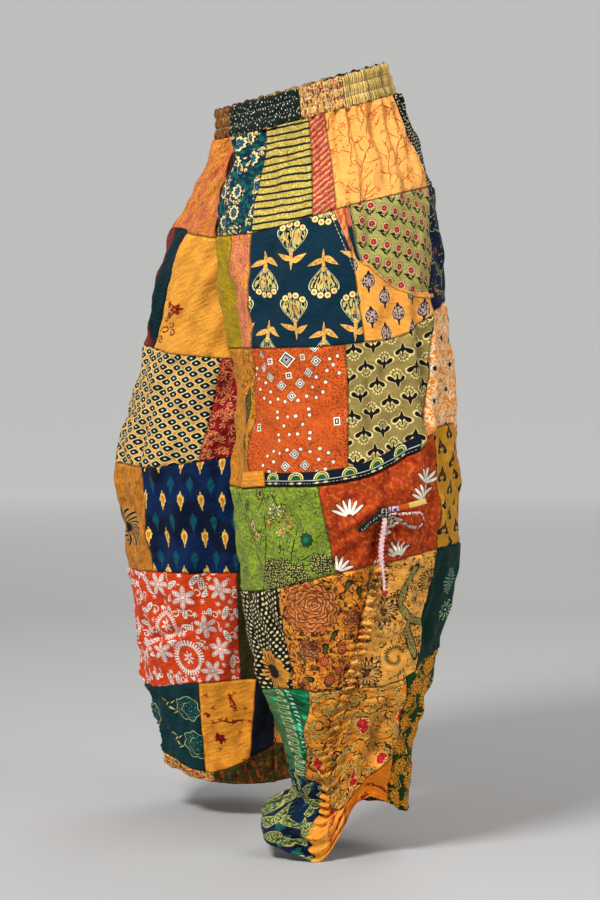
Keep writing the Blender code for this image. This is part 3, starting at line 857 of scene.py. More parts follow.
TAPES = {
    "long_end": "tape_pink",
    "short_end": "tape_cream",
    "back_loop": "tape_mixed",
    "front_loop": "tape_green",
}
KNOT_RADII = (0.0060, 0.0058, 0.0045)   # round the leg, up and out
TIP_RADII = (0.0034, 0.0042, 0.0034)
STRING_STEPS = 7           # sections of a string for each point of its route


@printed(0xB02C34)
def tape_red():
    ink(0xE6AAA0, dotted(0.35, 0.2, 1.8, 0.6))


def bow(side):
    """Knot, two loops, a short end and a long one with a small knot at its tip."""
    word = SIDES[side]
    low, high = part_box(f"{word}_drawstring_knot")
    place = (np.array(low) + np.array(high)) / 2
    turn = math.radians(read_table(CHANNEL_PATH, np.array(BOW_HEIGHT))[0])
    ways = np.array([
        [side * math.cos(turn), math.sin(turn), 0.0],
        [0.0, 0.0, 1.0],
        [side * math.sin(turn), -math.cos(turn), 0.0],
    ])
    knot = knot_piece(f"{word}_bow_knot", place, ways, KNOT_RADII, 4, PRINTS["tape_green"])
    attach(knot, "root")
    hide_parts(f"{word}_drawstring_knot")
    for part, points in BOW_STRINGS.items():
        start_turn, end_turn, far_end, thin_from = STRING_LIE[part]
        route = smooth_route(points, STRING_STEPS * len(points))
        along = np.gradient(route, axis=0)
        # the tape's width lies across its route, from flat on the leg to standing on edge
        flat = np.cross(np.array([0.0, 0.0, 1.0]), along)
        flat /= np.linalg.norm(flat, axis=1)[:, None]
        lean = np.radians(np.linspace(start_turn, end_turn, len(route)))[:, None]
        flat_way = (flat * np.cos(lean) + np.array([0.0, 0.0, 1.0]) * np.sin(lean)) @ ways
        route = place + route @ ways
        name = f"{word}_{part}"
        piece = string_piece(name, route, flat_way, thin_from, PRINTS[TAPES[part]])
        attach(piece, "root")
        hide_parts(f"{word}_drawstring_{part}")
        if far_end == "knot":
            red = PRINTS["tape_red"]
            tip = knot_piece(f"{word}_string_tip", route[-1], ways, TIP_RADII, 3, red)
            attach(tip, "root")


for leg_side in SIDES:
    bow(leg_side)

# Waistband. A casing of four printed pieces over wide elastic, gathered by it and stitched
# through in two rows; a maker sews it to the tops of all four upper panels.
BAND_WALL = 0.0030
BAND_RADIUS = 0.138
BAND_EASE = 1.9            # the print's cloth is this much longer than the gathered band
BAND_GATHERS = 186
BAND_STEPS = 1116          # points round it
BAND_LEVELS = 25
BAND_STITCHES = [-0.17, 0.17]            # rows of stitching, as shares of the height
# from angle (0 is the front, 90 the wearer's left), and the print's name
BAND_PIECES = [
    [-150, "band_stripe"], [-96, "band_brown"], [-4, "band_dots"], [49, "band_yellow"], [77, "band_stripe"],
    [140, "band_dots"],
]


@printed(0x926232, 0.2)
def band_brown():
    ink(0x543220, patchy(0.5, 0.6, 7, 3))
    ink(0xC8944A, patchy(0.58, 0.66, 5, 2, turn=40))


@printed(0x1A2824, 0.2)
def band_dots():
    dots = dotted(1.15, 0.3, 8.4, 0.8)
    ink(0xECECE2, dots)
    ink(0x405042, patchy(0.56, 0.62, 2, 1, (0.7, 4)), 0.7)


@printed(0xE0B870)
def band_yellow():
    ink(0xF6E0A6, patchy(0.52, 0.6, 4, 1, (0.6, 2)))
    fill(flower(scatter(15, 0.8, spin=True), 4.2, 5, 0.3), (1, 0.2, 0x802E54))
    ink(0xDE643C, patchy(0.62, 0.66, 5.2, 1, turn=30))
    ink(0x5C3828, lines(6, 0.8), 0.7)


@printed(0xE8CE8A)
def band_stripe():
    across, _ = apart(cloth.place)
    for pitch, start, width, colour in ((7, 3, 0.8, 0x4A6E3E), (11, 2, 0.7, 0x96424A),
            (17, 8, 1.3, 0xE2B048)):
        ink(colour, ring(cycle(across, pitch), start, width, 0.4))


def band_wave(angle, share):
    """Gathers of the band, uneven in depth and place, and pulled flat at each row of stitches."""
    turn = np.radians(angle)
    place = BAND_GATHERS * turn + 2.1 * np.sin(17 * turn) + 1.4 * np.sin(41 * turn + 1.0)
    place = place + 0.8 * np.sin(9 * turn + 5 * share)
    size = 0.72 + 0.28 * np.sin(23 * turn + 3.0 * share + 0.8)
    return size * (np.sqrt(np.abs(np.sin(place / 2))) * 2 - 1.35)


def round_band(angle, height, lift):
    """Points round the band. The right half of the ring is the left one's mirror image."""
    points = leg_points(1, np.abs(angle), height, lift, folded=False)
    points[..., 0] *= np.where(angle < 0, -1.0, 1.0)
    points[np.abs(points[..., 0]) < 0.0004, 0] = 0.0
    shallow = SIDE_TILT * (height - KNEE) / -KNEE
    points[..., 2] -= np.where(angle < 0, 2 * shallow * np.abs(points[..., 0]), 0.0)
    return points


def waistband_piece():
    turn = np.linspace(-180.0, 180.0, BAND_STEPS + 1)
    turn[-1] = -180.0
    share = np.linspace(0.5, -0.5, BAND_LEVELS)
    angle, level = np.meshgrid(turn, share)
    rows = np.array([0.5] + BAND_STITCHES[::-1] + [-0.5])
    nearest = np.min(np.abs(level[..., None] - rows), axis=-1)
    tunnel = np.sqrt(np.clip(nearest / 0.17, 0.0, 1.0))
    lift = 0.0022 * tunnel - 0.0006
    lift = lift + 0.00115 * band_wave(angle, level) * (0.45 + 0.75 * tunnel)
    edge = BAND_HEIGHT * (0.5 - np.abs(level))
    uneven = 0.0009 * np.sin(np.radians(angle) * 31) + 0.0007 * np.sin(np.radians(angle) * 57 + 2)
    height = BAND_MIDDLE + level * BAND_HEIGHT + uneven * ramp(edge, 0.012, 0.0)
    points = round_band(angle, height, lift)
    names = [name for _, name in BAND_PIECES]
    prints = sorted(set(names))
    starts = np.array([at for at, _ in BAND_PIECES])
    which = np.searchsorted(starts, turn[:-1] + 0.01, side="right") - 1
    around = np.radians(turn) * BAND_RADIUS * BAND_EASE
    around[-1] = math.pi * BAND_RADIUS * BAND_EASE
    along, down = np.meshgrid(around, -share * BAND_HEIGHT)
    grids = []
    for k in range(-1, len(starts)):
        columns = np.flatnonzero(which == k)
        if len(columns) == 0:
            continue
        part = slice(columns[0], columns[-1] + 2)
        to_side = np.minimum(along[:, part] - along[:, columns[0]][:, None],
                             along[:, columns[-1] + 1][:, None] - along[:, part])
        to_row = nearest[:, part] * BAND_HEIGHT + 0.0006
        grids.append({
            "points": points[:, part],
            "print": pair(along[:, part], down[:, part]),
            "edge": pair(to_side, to_row),
            "material": prints.index(names[k]),
        })
    materials = [PRINTS[name] for name in prints]
    band = cloth_piece("waistband_cloth", grids, materials, BAND_WALL)
    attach(band, "root")
    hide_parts("waistband")


STITCH = 0.0034            # length of a thread stitch
STITCH_PITCH = 0.0050
THREAD_RADIUS = 0.0004


def stitches(name, rows):
    """Thread stitches. A row is a line of points on the cloth and the same line 1 mm further out."""
    share = np.linspace(0.0, 1.0, 7)[:, None]
    turn = np.linspace(0.0, 2 * math.pi, 7)[None, :]
    thick = THREAD_RADIUS * np.sqrt(np.sin(math.pi * share))
    rise = THREAD_RADIUS * (1.2 * np.sin(math.pi * share) - 0.4) + thick * np.sin(turn)
    grids = []
    for line, outer in rows:
        length = np.concatenate([[0.0], np.cumsum(np.linalg.norm(np.diff(line, axis=0), axis=1))])
        for start in np.arange(0.001, length[-1] - STITCH, STITCH_PITCH):
            at = start + STITCH * share[:, 0]
            middle = np.stack([np.interp(at, length, line[:, k]) for k in range(3)], axis=-1)
            out = np.stack([np.interp(at, length, outer[:, k] - line[:, k]) for k in range(3)], axis=-1)
            out /= np.linalg.norm(out, axis=1)[:, None]
            aside = np.cross(middle[-1] - middle[0], out)
            aside /= np.linalg.norm(aside, axis=1)[:, None]
            points = middle[:, None] + out[:, None] * rise[..., None]
            points = points + aside[:, None] * (thick * np.cos(turn))[..., None]
            prints = pair(turn * THREAD_RADIUS, at[:, None])
            grids.append({"points": points, "print": prints, "mirrored": True})
    piece = cloth_piece(name, grids, [PRINTS["cotton_thread"]])
    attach(piece, "root")


@printed(0xDECE9E, 0.12, 0.7)
def cotton_thread():
    _, along = apart(cloth.place)
    ink(0xA89668, fade(cycle(along, 0.8), 0.3, 0.6), 0.6)


def band_stitches():
    """Both rows through the elastic, which sink into the gathers."""
    angle = np.linspace(-180.0, 180.0, 1400)
    rows = []
    for level in BAND_STITCHES:
        height = BAND_MIDDLE + level * BAND_HEIGHT + 0 * angle
        lift = -0.0006 + 0.00115 * 0.45 * band_wave(angle, level)
        rows.append([round_band(angle, height, lift + more) for more in (0.0002, 0.0012)])
    stitches("waistband_stitches", rows)


waistband_piece()
band_stitches()

# Leg panels. Patchwork of printed cottons: rows of patches sewn together across each front and
# back, and joined to the row below, with folds, puckers, worn seams and painted seam shade. The hems are
# rolled.
GRID_STEP = 0.0036
NEAR_SEAM = [0.0, 0.0012, 0.0028, 0.0055]
CLOTH_WALL = 0.0009
SEAM_DITCH = 0.0013
SEAM_RIDGE = 0.0006        # the seam allowance under the cloth lifts it
HEM_ROLL = 0.0065
FLAT_EASE = 1.03           # a strip's cloth is this much wider than it lies
GATHERED_EASE = 1.04       # and the top strip, which is gathered, this much
# Seam lines between rows of patches: angle round the leg and height.
ROW_LINES = {
    1: [
        [[-180, -38.2], [270, -38.2]],
        [[-90, -172], [0, -172], [16, -173], [50, -164], [66, -160], [88, -158], [123, -158], [150, -160],
         [200, -175], [270, -182]],
        [[-90, -334], [0, -327], [70, -330], [90, -328], [100, -320], [114, -306], [160, -300], [200, -310],
         [270, -324]],
        [[-90, -500], [-60, -508], [-10, -514], [14, -508], [44, -504], [60, -498], [78, -484], [94, -466],
         [104, -450], [112, -443], [156, -448], [200, -475], [270, -500]],
        [[-90, -655], [-18, -648], [20, -634], [52, -614], [72, -604], [113, -588], [146, -588],
         [200, -605], [270, -655]],
        [[-90, -785], [-18, -776], [17, -764], [45, -764], [63, -772], [97, -758], [112, -738], [150, -730],
         [200, -750], [270, -785]],
        [[-90, -900], [-18, -884], [14, -882], [27, -888], [45, -930], [56, -944], [75, -925], [97, -884],
         [137, -888], [200, -890], [270, -900]],
        [[-180, -970], [270, -970]],
    ],
    -1: [
        [[-180, -38.2], [270, -38.2]],
        [[-90, -182], [-32, -176], [-13, -168], [19, -154], [60, -150], [124, -158], [180, -170],
         [270, -182]],
        [[-90, -360], [-47, -346], [-18, -336], [10, -326], [60, -320], [120, -320], [180, -330],
         [270, -355]],
        [[-90, -480], [-65, -486], [-44, -494], [-16, -504], [16, -502], [80, -496], [150, -492],
         [220, -486], [270, -480]],
        [[-90, -643], [-42, -646], [-10, -648], [13, -652], [80, -640], [150, -630], [220, -636],
         [270, -643]],
        [[-90, -798], [-66, -800], [-38, -806], [16, -828], [60, -826], [130, -806], [200, -796],
         [270, -798]],
        [[-90, -905], [-66, -930], [-41, -952], [9, -945], [60, -945], [180, -930], [270, -905]],
        [[-180, -970], [270, -970]],
    ],
}
# Patches of each row, from the inner side round the front to the back: the angle of the patch's
# far edge at its top and at its bottom, its print, and how the print is turned. A border named
# "side" is the side seam between front and back.
PATCHES = {
    1: [
        [[26, 16, "teal_posies", 0], [53, 50, "striped", 2], [63, 62, "coral_streaks", 0],
         [123, 123, "golden_vine", 0], "side", [158, 154, "black_dots", 0], [300, 300, "golden_buds", 0]],
        [[0, -14, "olive_plain", 0], [16, 2, "salmon_plain", 0], [66.6, 70.4, "teal_tulips", 6],
         [124, 114, "gold_buds", 0], "side", [165, 160, "navy_blooms", 0], [300, 300, "khaki_buti", 0]],
        [[2, 0, "ochre_plain", 0], [60, 58, "orange_bandhani", 0], [114, 100, "khaki_buti", 0], "side",
         [175, 172, "orange_swirls", 0], [300, 300, "teal_tulips", 0]],
        [[44, 52, "lime_garden", 0], [109, 112, "red_fans", 0], "side", [170, 168, "mustard_tulips", 0],
         [300, 300, "orange_roses", 0]],
        [[20, 17, "black_sprays", 0], [71, 63, "peony", 0], [112, 104, "paisley_gold", 0], "side",
         [180, 178, "teal_stars", 0], [300, 300, "black_dots", 0]],
        [[30, 14, "emerald_fern", 0], [97, 97, "gold_swirls", 0], "side", [185, 185, "green_floral", 0],
         [300, 300, "salmon_plain", 0]],
        [[29, 31, "navy_leaves", 0], [52, 52, "yellow_red", 0], [97, 97, "orange_branch", 0], "side",
         [300, 300, "green_floral", 0]],
    ],
    -1: [
        [[124, 122, "crackle_gold", 0], "side", [170, 168, "golden_vine", 0], [300, 300, "teal_posies", 0]],
        [[4, 8, "golden_rose", 0], [24, 11, "teal_plain", 0], [63, 66, "maroon_plain", 0],
         [120, 118, "gold_buds", 0], "side", [176, 170, "striped", 0], [300, 300, "orange_swirls", 0]],
        [[-47, -46, "coral_branches", 0], [60, 62, "ikat", 0], [118, 112, "golden_vine", 0], "side",
         [300, 300, "salmon_plain", 0]],
        [[-9, -10, "navy_drops", 0], [60, 58, "gold_shells", 0], [112, 110, "red_fans", 0], "side",
         [180, 176, "lime_garden", 0], [300, 300, "navy_blooms", 0]],
        [[-64, -66, "olive_dark", 0], [60, 58, "orange_roses", 0], [110, 104, "teal_stars", 0], "side",
         [300, 300, "ikat", 0]],
        [[-76, -71, "navy_brown", 0], [-38, -33, "gold_branch", 0], [60, 58, "teal_roses", 0],
         [104, 99, "paisley_gold", 0], "side", [190, 188, "coral_branches", 0],
         [300, 300, "gold_swirls", 0]],
        [[-41, -41, "plaid", 0], [60, 60, "cream_floral", 0], [99, 99, "navy_leaves", 0], "side",
         [300, 300, "plaid", 0]],
    ],
}
# Smaller creases: angle and height of the upper end, of the lower end, width and depth.
CREASES = {
    1: [
        [-30, -200, -26, -360, 35, 6], [53, -45, 52, -130, 4, -5], [70.5, -135, 71, -215, 4, -5],
        [76, -535, 69, -600, 5, -6], [68, -610, 65, -745, 6, -6.5], [82, -535, 85, -580, 5, -5.6],
        [74, -830, 84, -890, 6, -6], [30, -45, 26, -160, 7.5, -4.8], [39, -45, 43, -210, 7.5, -5.4],
        [48, -45, 45, -140, 6.5, -4.2], [58, -45, 60, -200, 7.5, -5.1], [68, -45, 68, -150, 7.5, -5.8],
        [79, -45, 80, -240, 8.5, -5.8], [92, -45, 94, -160, 8.5, -6.1], [106, -45, 104, -150, 7.5, -4.8],
        [12, -45, 16, -150, 7.5, -4.8], [30, -170, 36, -470, 7, -2.6], [72, -260, 70, -500, 7, -3.2],
        [92, -300, 90, -490, 6, -2.8], [101, -260, 104, -580, 7, -5.8], [110, -200, 114, -460, 8, 2.6],
        [120, -300, 112, -500, 7, -3], [78, -515, 60, -555, 6, 3.6], [76, -525, 48, -570, 6, 3.2],
        [75, -540, 38, -615, 7, 3.6], [75, -550, 46, -680, 7, 3.4], [79, -530, 96, -575, 6, 3],
        [79, -540, 108, -625, 7, 3.4], [79, -550, 98, -680, 7, 3], [24, -520, 40, -620, 8, -3],
        [-12, -520, 6, -660, 9, -3.6], [10, -660, 30, -800, 8, -3.4], [-26, -620, -8, -820, 9, -4],
        [34, -660, 46, -780, 6, 2.6], [104, -600, 92, -740, 7, -3.2], [116, -620, 104, -840, 8, -3.6],
        [88, -780, 70, -920, 6, -3.2], [14, -800, 30, -930, 6, -3], [-12, -820, 10, -950, 7, -3.4],
        [148, -560, 148, -720, 45, 4], [150, -50, 154, -200, 8.5, -5.8], [168, -50, 166, -240, 8.5, -5.4],
        [186, -50, 188, -190, 8.5, -5.8], [140, -300, 132, -520, 8, -3.4], [182, -360, 176, -620, 9, 3.2],
        [222, -440, 214, -660, 8, -3], [160, -620, 152, -860, 8, -3.6], [196, -660, 184, -900, 8, 3],
        [240, -600, 232, -840, 8, -3.2],
    ],
    -1: [
        [-38, -722, 10, -757, 7, -7], [-30, -45, 20, -165, 9, -4.5], [-6, -45, 24, -150, 8, -4.5],
        [36, -45, 30, -140, 9.5, -6.4], [-14, -190, -18, -330, 8, -3], [16, -180, 12, -340, 8, 3],
        [-30, -360, -34, -520, 8, -3.2], [-2, -400, -8, -600, 8, -3], [20, -460, 12, -640, 8, 3.2],
        [-56, -460, -54, -660, 7, -3.4], [-22, -600, -14, -740, 9, -3.4], [-48, -660, -52, -820, 8, -3.4],
        [-68, -560, -72, -860, 8, -4], [2, -700, -10, -880, 8, 3.4], [-36, -820, -48, -940, 7, 3],
        [60, -45, 62, -160, 8.5, -5.8], [84, -45, 82, -200, 8.5, -5.8], [106, -45, 110, -170, 8.5, -5.8],
        [76, -515, 58, -560, 6, 3.4], [75, -540, 42, -620, 7, 3.4], [79, -535, 104, -620, 7, 3.4],
        [92, -300, 94, -480, 8, -3.4], [112, -340, 106, -520, 8, -3.4], [150, -50, 152, -220, 8.5, -5.8],
        [172, -50, 168, -180, 8.5, -5.8], [144, -320, 136, -540, 8, -3.4], [186, -380, 180, -600, 9, 3.2],
        [224, -460, 218, -700, 8, -3], [160, -620, 152, -860, 8, -3.6], [200, -640, 188, -880, 8, 3],
        [100, -620, 90, -800, 8, -3.4],
    ],
}
# The pocket's scooped mouth: angle and height of its edge, from the yoke to the side seam.
POCKET_MOUTH = {
    1: [[62, -120], [66, -163], [68, -202], [75, -236], [84, -258], [95, -274], [130, -285]],
    -1: [[62, -110], [66, -160], [69, -202], [77, -240], [86, -260], [97, -274], [130, -285]],
}
POCKET_DEPTH = 0.0040      # how far the panel is pressed in behind the facing
# Crumples of thin washed cotton: wavelength round the leg and down it, phase and depth.
CRUMPLES = [
    [83, 240, 0.3, 1.1], [61, -170, 2.1, 0.9], [140, 83, 4.4, 0.8], [47, 110, 1.2, 0.7],
    [-120, 57, 5.3, 0.6], [34, 160, 0.9, 0.5], [39, -63, 3.7, 0.45], [27, 71, 2.6, 0.34],
    [-52, 31, 1.9, 0.34], [21, -90, 5.9, 0.24],
]


def centre_angle(side, height):
    """Angle at which the plane between the legs cuts a section, 90 below the crotch."""
    section = read_table(SECTIONS[side], height)
    return np.degrees(np.arcsin(np.clip(section[..., 0] / section[..., 3], 0.0, 1.0)))


def line_height(line, angle):
    table = np.array(line) / [1, 1000]
    return read_table(table, angle)[..., 0] if len(table) > 2 else np.full(np.shape(angle), table[0, 1])


def into_pocket(side, angle, height):
    """Distance past the edge of the pocket's mouth, into the pocket."""
    at = np.linspace(64.0, 130.0, 200)
    reach = 0.155 * math.pi / 180
    line = pair(at * reach, line_height(POCKET_MOUTH[side], at))
    place = pair(angle * reach, height)
    away = np.min(np.linalg.norm(place[..., None, :] - line, axis=-1), axis=-1)
    above = (height > line_height(POCKET_MOUTH[side], angle)) & (angle > 64.0)
    return np.where(above, away, -away)


def waist_gathers(side, angle, height):
    """Fine gathers below the waistband: each one dies out at its own height."""
    turn = np.radians(angle)
    start = BAND_MIDDLE - BAND_HEIGHT / 2
    place = 44 * turn + 1.7 * np.sin(5 * turn + side) + 0.9 * np.sin(13 * turn)
    reach = 0.085 + 0.035 * np.sin(19 * turn + side) + 0.020 * np.sin(7 * turn)
    fine = 96 * turn + 1.9 * np.sin(11 * turn)
    fade = 1 - ramp(start - height, 0.0, reach)
    short = 1 - ramp(start - height, 0.0, reach * (0.42 + 0.2 * np.sin(27 * turn)))
    pleat = 0.55 - np.abs(np.sin(fine / 2)) ** 0.7
    return 0.0040 * fade * np.sin(place) - 0.0034 * short * pleat


def channel_puckers(side, angle, height):
    """Short folds that the drawn-up channel pulls into the cloth on either side of it."""
    across = from_channel(side, angle, height)
    drawn = 1 - ramp(height, CHANNEL_TOP - 0.005, CHANNEL_TOP + 0.012)
    reach = 0.042 + 0.018 * np.sin(height * 260 + np.sign(across))
    slant = height + 0.25 * np.abs(across)
    wave = np.sin(slant * 2 * math.pi / 0.0115 + 1.8 * np.sin(slant * 90))
    return drawn * 0.0033 * wave * (1 - ramp(np.abs(across), 0.004, reach))


def cloth_relief(side, angle, height):
    """All that moves the cloth off its solid's form, but for the patches' own seams."""
    across = np.radians(angle) * 0.14
    out = 1.35 * fold_row(side, angle, height, CREASES[side])
    out = out + waist_gathers(side, angle, height) + channel_puckers(side, angle, height)
    for wide, long, phase, depth in CRUMPLES / np.array([1000, 1000, 1, 1000]):
        out = out + 1.4 * depth * np.sin(2 * math.pi * (across / wide + height / long) + phase + side)
    return out


def spaced(length, step):
    """Places along a border: close together beside the seams, even between them."""
    count = max(2, int(math.ceil((length - 2 * NEAR_SEAM[-1]) / step)))
    middle = np.linspace(NEAR_SEAM[-1], length - NEAR_SEAM[-1], count + 1)
    near = np.array(NEAR_SEAM[:-1])
    return np.concatenate([near, middle, length - near[::-1]]) / length


def seam_relief(to_side, to_end, along):
    """Ditch at each seam, the raised allowance beside it, and puckers along it."""
    nearest = np.minimum(to_side, to_end)
    ditch = -SEAM_DITCH * np.exp(-((nearest / 0.0013) ** 2))
    ridge = SEAM_RIDGE * np.exp(-(((nearest - 0.0042) / 0.0022) ** 2))
    pucker = 0.00050 * np.sin(along / 0.0019 + 2.0 * np.sin(along / 0.011)) * np.exp(-(nearest / 0.008))
    return ditch + ridge + pucker * ramp(nearest, 0.0, 0.002)


def patch_grid(side, row, left_border, right_border, levels, print_turn, hem):
    """Points of one patch between two borders, with its print and edge places."""
    upper, lower = ROW_LINES[side][row], ROW_LINES[side][row + 1]

    def border_at(border, share):
        top, low = border
        rough = line_height(upper, np.array(top)) * (1 - share) + line_height(lower, np.array(low)) * share
        if top == -180:
            return -centre_angle(side, rough)
        if top == 300:
            return 180 + centre_angle(side, rough)
        return top + (low - top) * share

    left, right = border_at(left_border, levels), border_at(right_border, levels)
    middle = len(levels) // 2
    mid_height = (line_height(upper, left[middle]) + line_height(lower, left[middle])) / 2
    radius = read_table(SECTIONS[side], mid_height)[2]
    width = math.radians(float(np.max(right - left))) * float(radius)
    across = spaced(width, GRID_STEP)
    angle = left[:, None] + (right - left)[:, None] * across[None, :]
    top, low = line_height(upper, angle), line_height(lower, angle)
    height = top + (low - top) * levels[:, None]
    flat_radius = 0.98 * read_table(SECTIONS[side], height)[..., 2]
    from_left = np.radians(angle - left[:, None]) * flat_radius
    from_right = np.radians(right[:, None] - angle) * flat_radius
    from_top, from_low = top - height, height - low
    to_side = np.minimum(from_left, from_right)
    if hem:
        to_end = from_top
    elif row == 0:
        to_end = from_low
    else:
        to_end = np.minimum(from_top, from_low)
    lift = cloth_relief(side, angle, height) + seam_relief(to_side, to_end, from_left + from_top)
    if hem:
        rolled = 0.0012 * np.sqrt(np.clip(1 - ((from_low - HEM_ROLL / 2) / (HEM_ROLL / 2)) ** 2, 0, 1))
        lift = lift + rolled
        to_end = np.minimum(to_end, np.abs(from_low - HEM_ROLL))
    if row == 1 and left[middle] > 60 and right[middle] < 125:
        lift = lift - POCKET_DEPTH * ramp(into_pocket(side, angle, height), 0.0, 0.0028)
    points = leg_points(side, angle, height, lift)
    origin = left[middle]
    u = np.radians(angle - origin) * float(radius)
    v = -(height - float(line_height(upper, np.array(left_border[0] if abs(left_border[0]) < 180 else 0))))
    cosine, sine = math.cos(math.radians(print_turn)), math.sin(math.radians(print_turn))
    down = np.linalg.norm(np.diff(points, axis=0), axis=-1).sum(axis=0)
    return {
        "points": points,
        "print": pair(u * cosine + v * sine, v * cosine - u * sine),
        "edge": pair(to_side, to_end),
        "width": width,
        "height": float(np.mean(down)),
    }


def row_strip(side, row):
    """Front and back pieces of one row of patches."""
    word = SIDES[side]
    upper, lower = ROW_LINES[side][row], ROW_LINES[side][row + 1]
    around = np.linspace(-60, 240, 61)
    tallest = max(0.02, float(np.max(line_height(upper, around) - line_height(lower, around))))
    levels = spaced(tallest, GRID_STEP)
    half = "front"
    left_border = (-180, -180)
    grids, names, size = [], [], 0.0
    hem = row == len(ROW_LINES[side]) - 2
    for patch in PATCHES[side][row] + ["side"]:
        if patch != "side":
            top, low, name, turn = patch
            grid = patch_grid(side, row, left_border, (top, low), levels, turn, hem)
            names.append(name)
            grid["name"] = name
            grid["mirrored"] = side < 0
            grids.append(grid)
            size += grid["width"] * grid["height"]
            left_border = (top, low)
            continue
        prints = sorted(set(names))
        for grid in grids:
            grid["material"] = prints.index(grid["name"])
        name = f"{word}_{half}_row_{row + 1}"
        piece = cloth_piece(name, grids, [PRINTS[p] for p in prints], CLOTH_WALL)
        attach(piece, "root")
        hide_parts(f"{word}_{half}_{'upper' if row < 3 else 'lower'}")
        wide = sum(grid["width"] for grid in grids)
        wide = wide * (FLAT_EASE if row else GATHERED_EASE)
        half = "back"
        grids, names, size = [], [], 0.0


# Prints of the patches. Block-printed cottons, each a ground with its motifs, in millimetres
# across and down from the patch's upper left corner.
@printed(0x083E5C)
def teal_posies():
    """Cream-edged round flowers and clusters of small cream leaves on teal."""
    ink(0x147664, patchy(0.48, 0.55, 7, 2))
    ink(0x0A2C38, patchy(0.56, 0.62, 5, 2, turn=30), 0.8)
    leaf = drops(scatter(7.5, 0.8, spin=True), (0, 0, 2.4, 4.2, 0))
    near = patchy(0.51, 0.54, 26, 1, (0.8, 1.3), 35)
    ink(0x1E282E, within(leaf, 1.25, 0.1), near)
    ink(0xF4DA9E, within(leaf, 1, 0.1), near)
    ink(0xB06E4C, within(leaf, 0.45, 0.1), near)
    bloom = flower(scatter(34, 0.45), 10, 10, 0.1)
    fill(bloom, (1.25, 0.05, 0x0C3442))
    ink(0xF6E2AA, ring(bloom, 0.9, 0.15))
    fill(bloom, (0.66, 0.1, 0x187880), (0.44, 0.1, 0x0C3668))
    ink(0xC4D6BE, within(bloom, 0.4), dotted(0.5, 0.2, 2.4, 0.6))


@printed(0xD0BC68)
def striped():
    ink(0xB08A3A, patchy(0.53, 0.62, 2.2, 2), 0.85)
    ink(0xF4E496, patchy(0.57, 0.64, 3, 1, turn=30), 0.6)
    _, down = apart(cloth.place)
    wander = wavy(down, 6, 34, 1)
    line = cycle(wander, 9.3)
    ink(0x0A2E2C, ring(line, 4.6, 1.4, 0.35))


@printed(0xBE8664, 0.16)
def coral_streaks():
    """Red bands, broken by hand, that rise to the right on pale coral."""
    across, down = apart(cloth.place)
    slant = sloped(across, 0.5, down)
    slant = wavy(slant, 4, 7, 1)
    band = cycle(slant, 7.4)
    ink(0xECB88A, ring(band, 5.6, 1, 0.8))
    broken = patchy(0.36, 0.44, 2.6, 1, (0.6, 1.6))
    ink(0xBE2A30, ring(band, 2.4, 1.5, 0.9), broken)
    ink(0xCC543E, patchy(0.56, 0.62, 3.4, 1, (0.6, 1.8)), 0.8)


def vines(stem, bloom, pitch):
    """Thin branching stems that end in hooks, tiny leaves and a few small flowers."""
    bend = wavy(-7, 14, 20, 1)
    for cell in (repeat(58, 72, drop=0.5, x=4, y=6), repeat(64, 58, drop=0.4, turn=14, x=30, y=30)):
        u, v = apart(cell)
        cell = together(number("ADD", u, bend), v)
        stems = ovals(cell, (0, 0, 0.75, 30, 12), (-9, -12, 0.6, 10, -50), (9, -16, 0.6, 10, 45),
            (12, 4, 0.6, 11, 70), (-10, 12, 0.6, 10, -65), (6, 22, 0.6, 9, 40))
        fill(stems, (1, 0.3, stem, 0.9))
        for x, y, radius, turn in ((-17, -22, 5, 20), (16, -26, 4.6, 150), (23, 4, 5.2, 230),
                (-20, 6, 5.4, 80), (11, 30, 4.4, 310)):
            away, angle = polar(moved(cell, x, y, turn))
            ink(stem, ring(away, radius, 0.42, 0.3), fade(angle, -0.6, -0.4), 0.9)
    leaf = drops(scatter(9, 0.95, spin=True), (0, 0, 1, 2.4, 0))
    near = patchy(0.52, 0.56, 20, 1, turn=15)
    ink(stem, within(leaf, 1, 0.25), near, 0.85)
    head = flower(scatter(pitch, 0.7), 4.4, 5, 0.4)
    fill(head, (1, 0.15, bloom, 0.9), (0.28, 0.1, cloth.ground))


print_cloth(vines, "golden_vine", 0xFABE6E, 0.07, 0xB8522A, 0xE24A32, 46)


@printed(0x121822)
def black_dots():
    ink(0xF0E6B4, dotted(1.15, 0.3, 5.2, 0.55, stretch=0.8))


@printed(0x0C141E)
def black_sprays():
    """Cream dots in curved rows on black, and a gold flower with black rays low on the inside."""
    away, angle = polar(cloth.place, 150, 10)
    strokes = number("DIVIDE", away, 5.6)
    beads = number("MULTIPLY", angle, number("MULTIPLY", number("FLOOR", strokes), 0.84))
    beads = sloped(number("FLOOR", strokes), 0.37, beads)
    bead = together(
        sloped(number("FRACT", strokes), 5.6, -2.8), sloped(number("FRACT", beads), 6.6, -3.3))
    uneven = wavy(0.2, 1.5, 6, 1)
    bead = number("MULTIPLY", ovals(bead, (0, 0, 1.2, 1.7, 0)), uneven)
    fill(bead, (1, 0.2, 0xEEE2A8))
    wide = at(184, 104, 0, 1.25, 1)
    head = flower(wide, 29, 9, 0.07)
    fill(head, (1, 0.03, 0xE6A640))
    ragged = patchy(0.3, 0.42, 4, 1)
    ink(0x0E141A, rays(wide, -7, 2, 7, 23, 24), ragged)
    fill(polar(wide, -7, 2)[0], (9, 1.2, 0x0E141A))
    ink(0xCE9642, dotted(0.6, 0.3, 3, 0.8), 0.2)


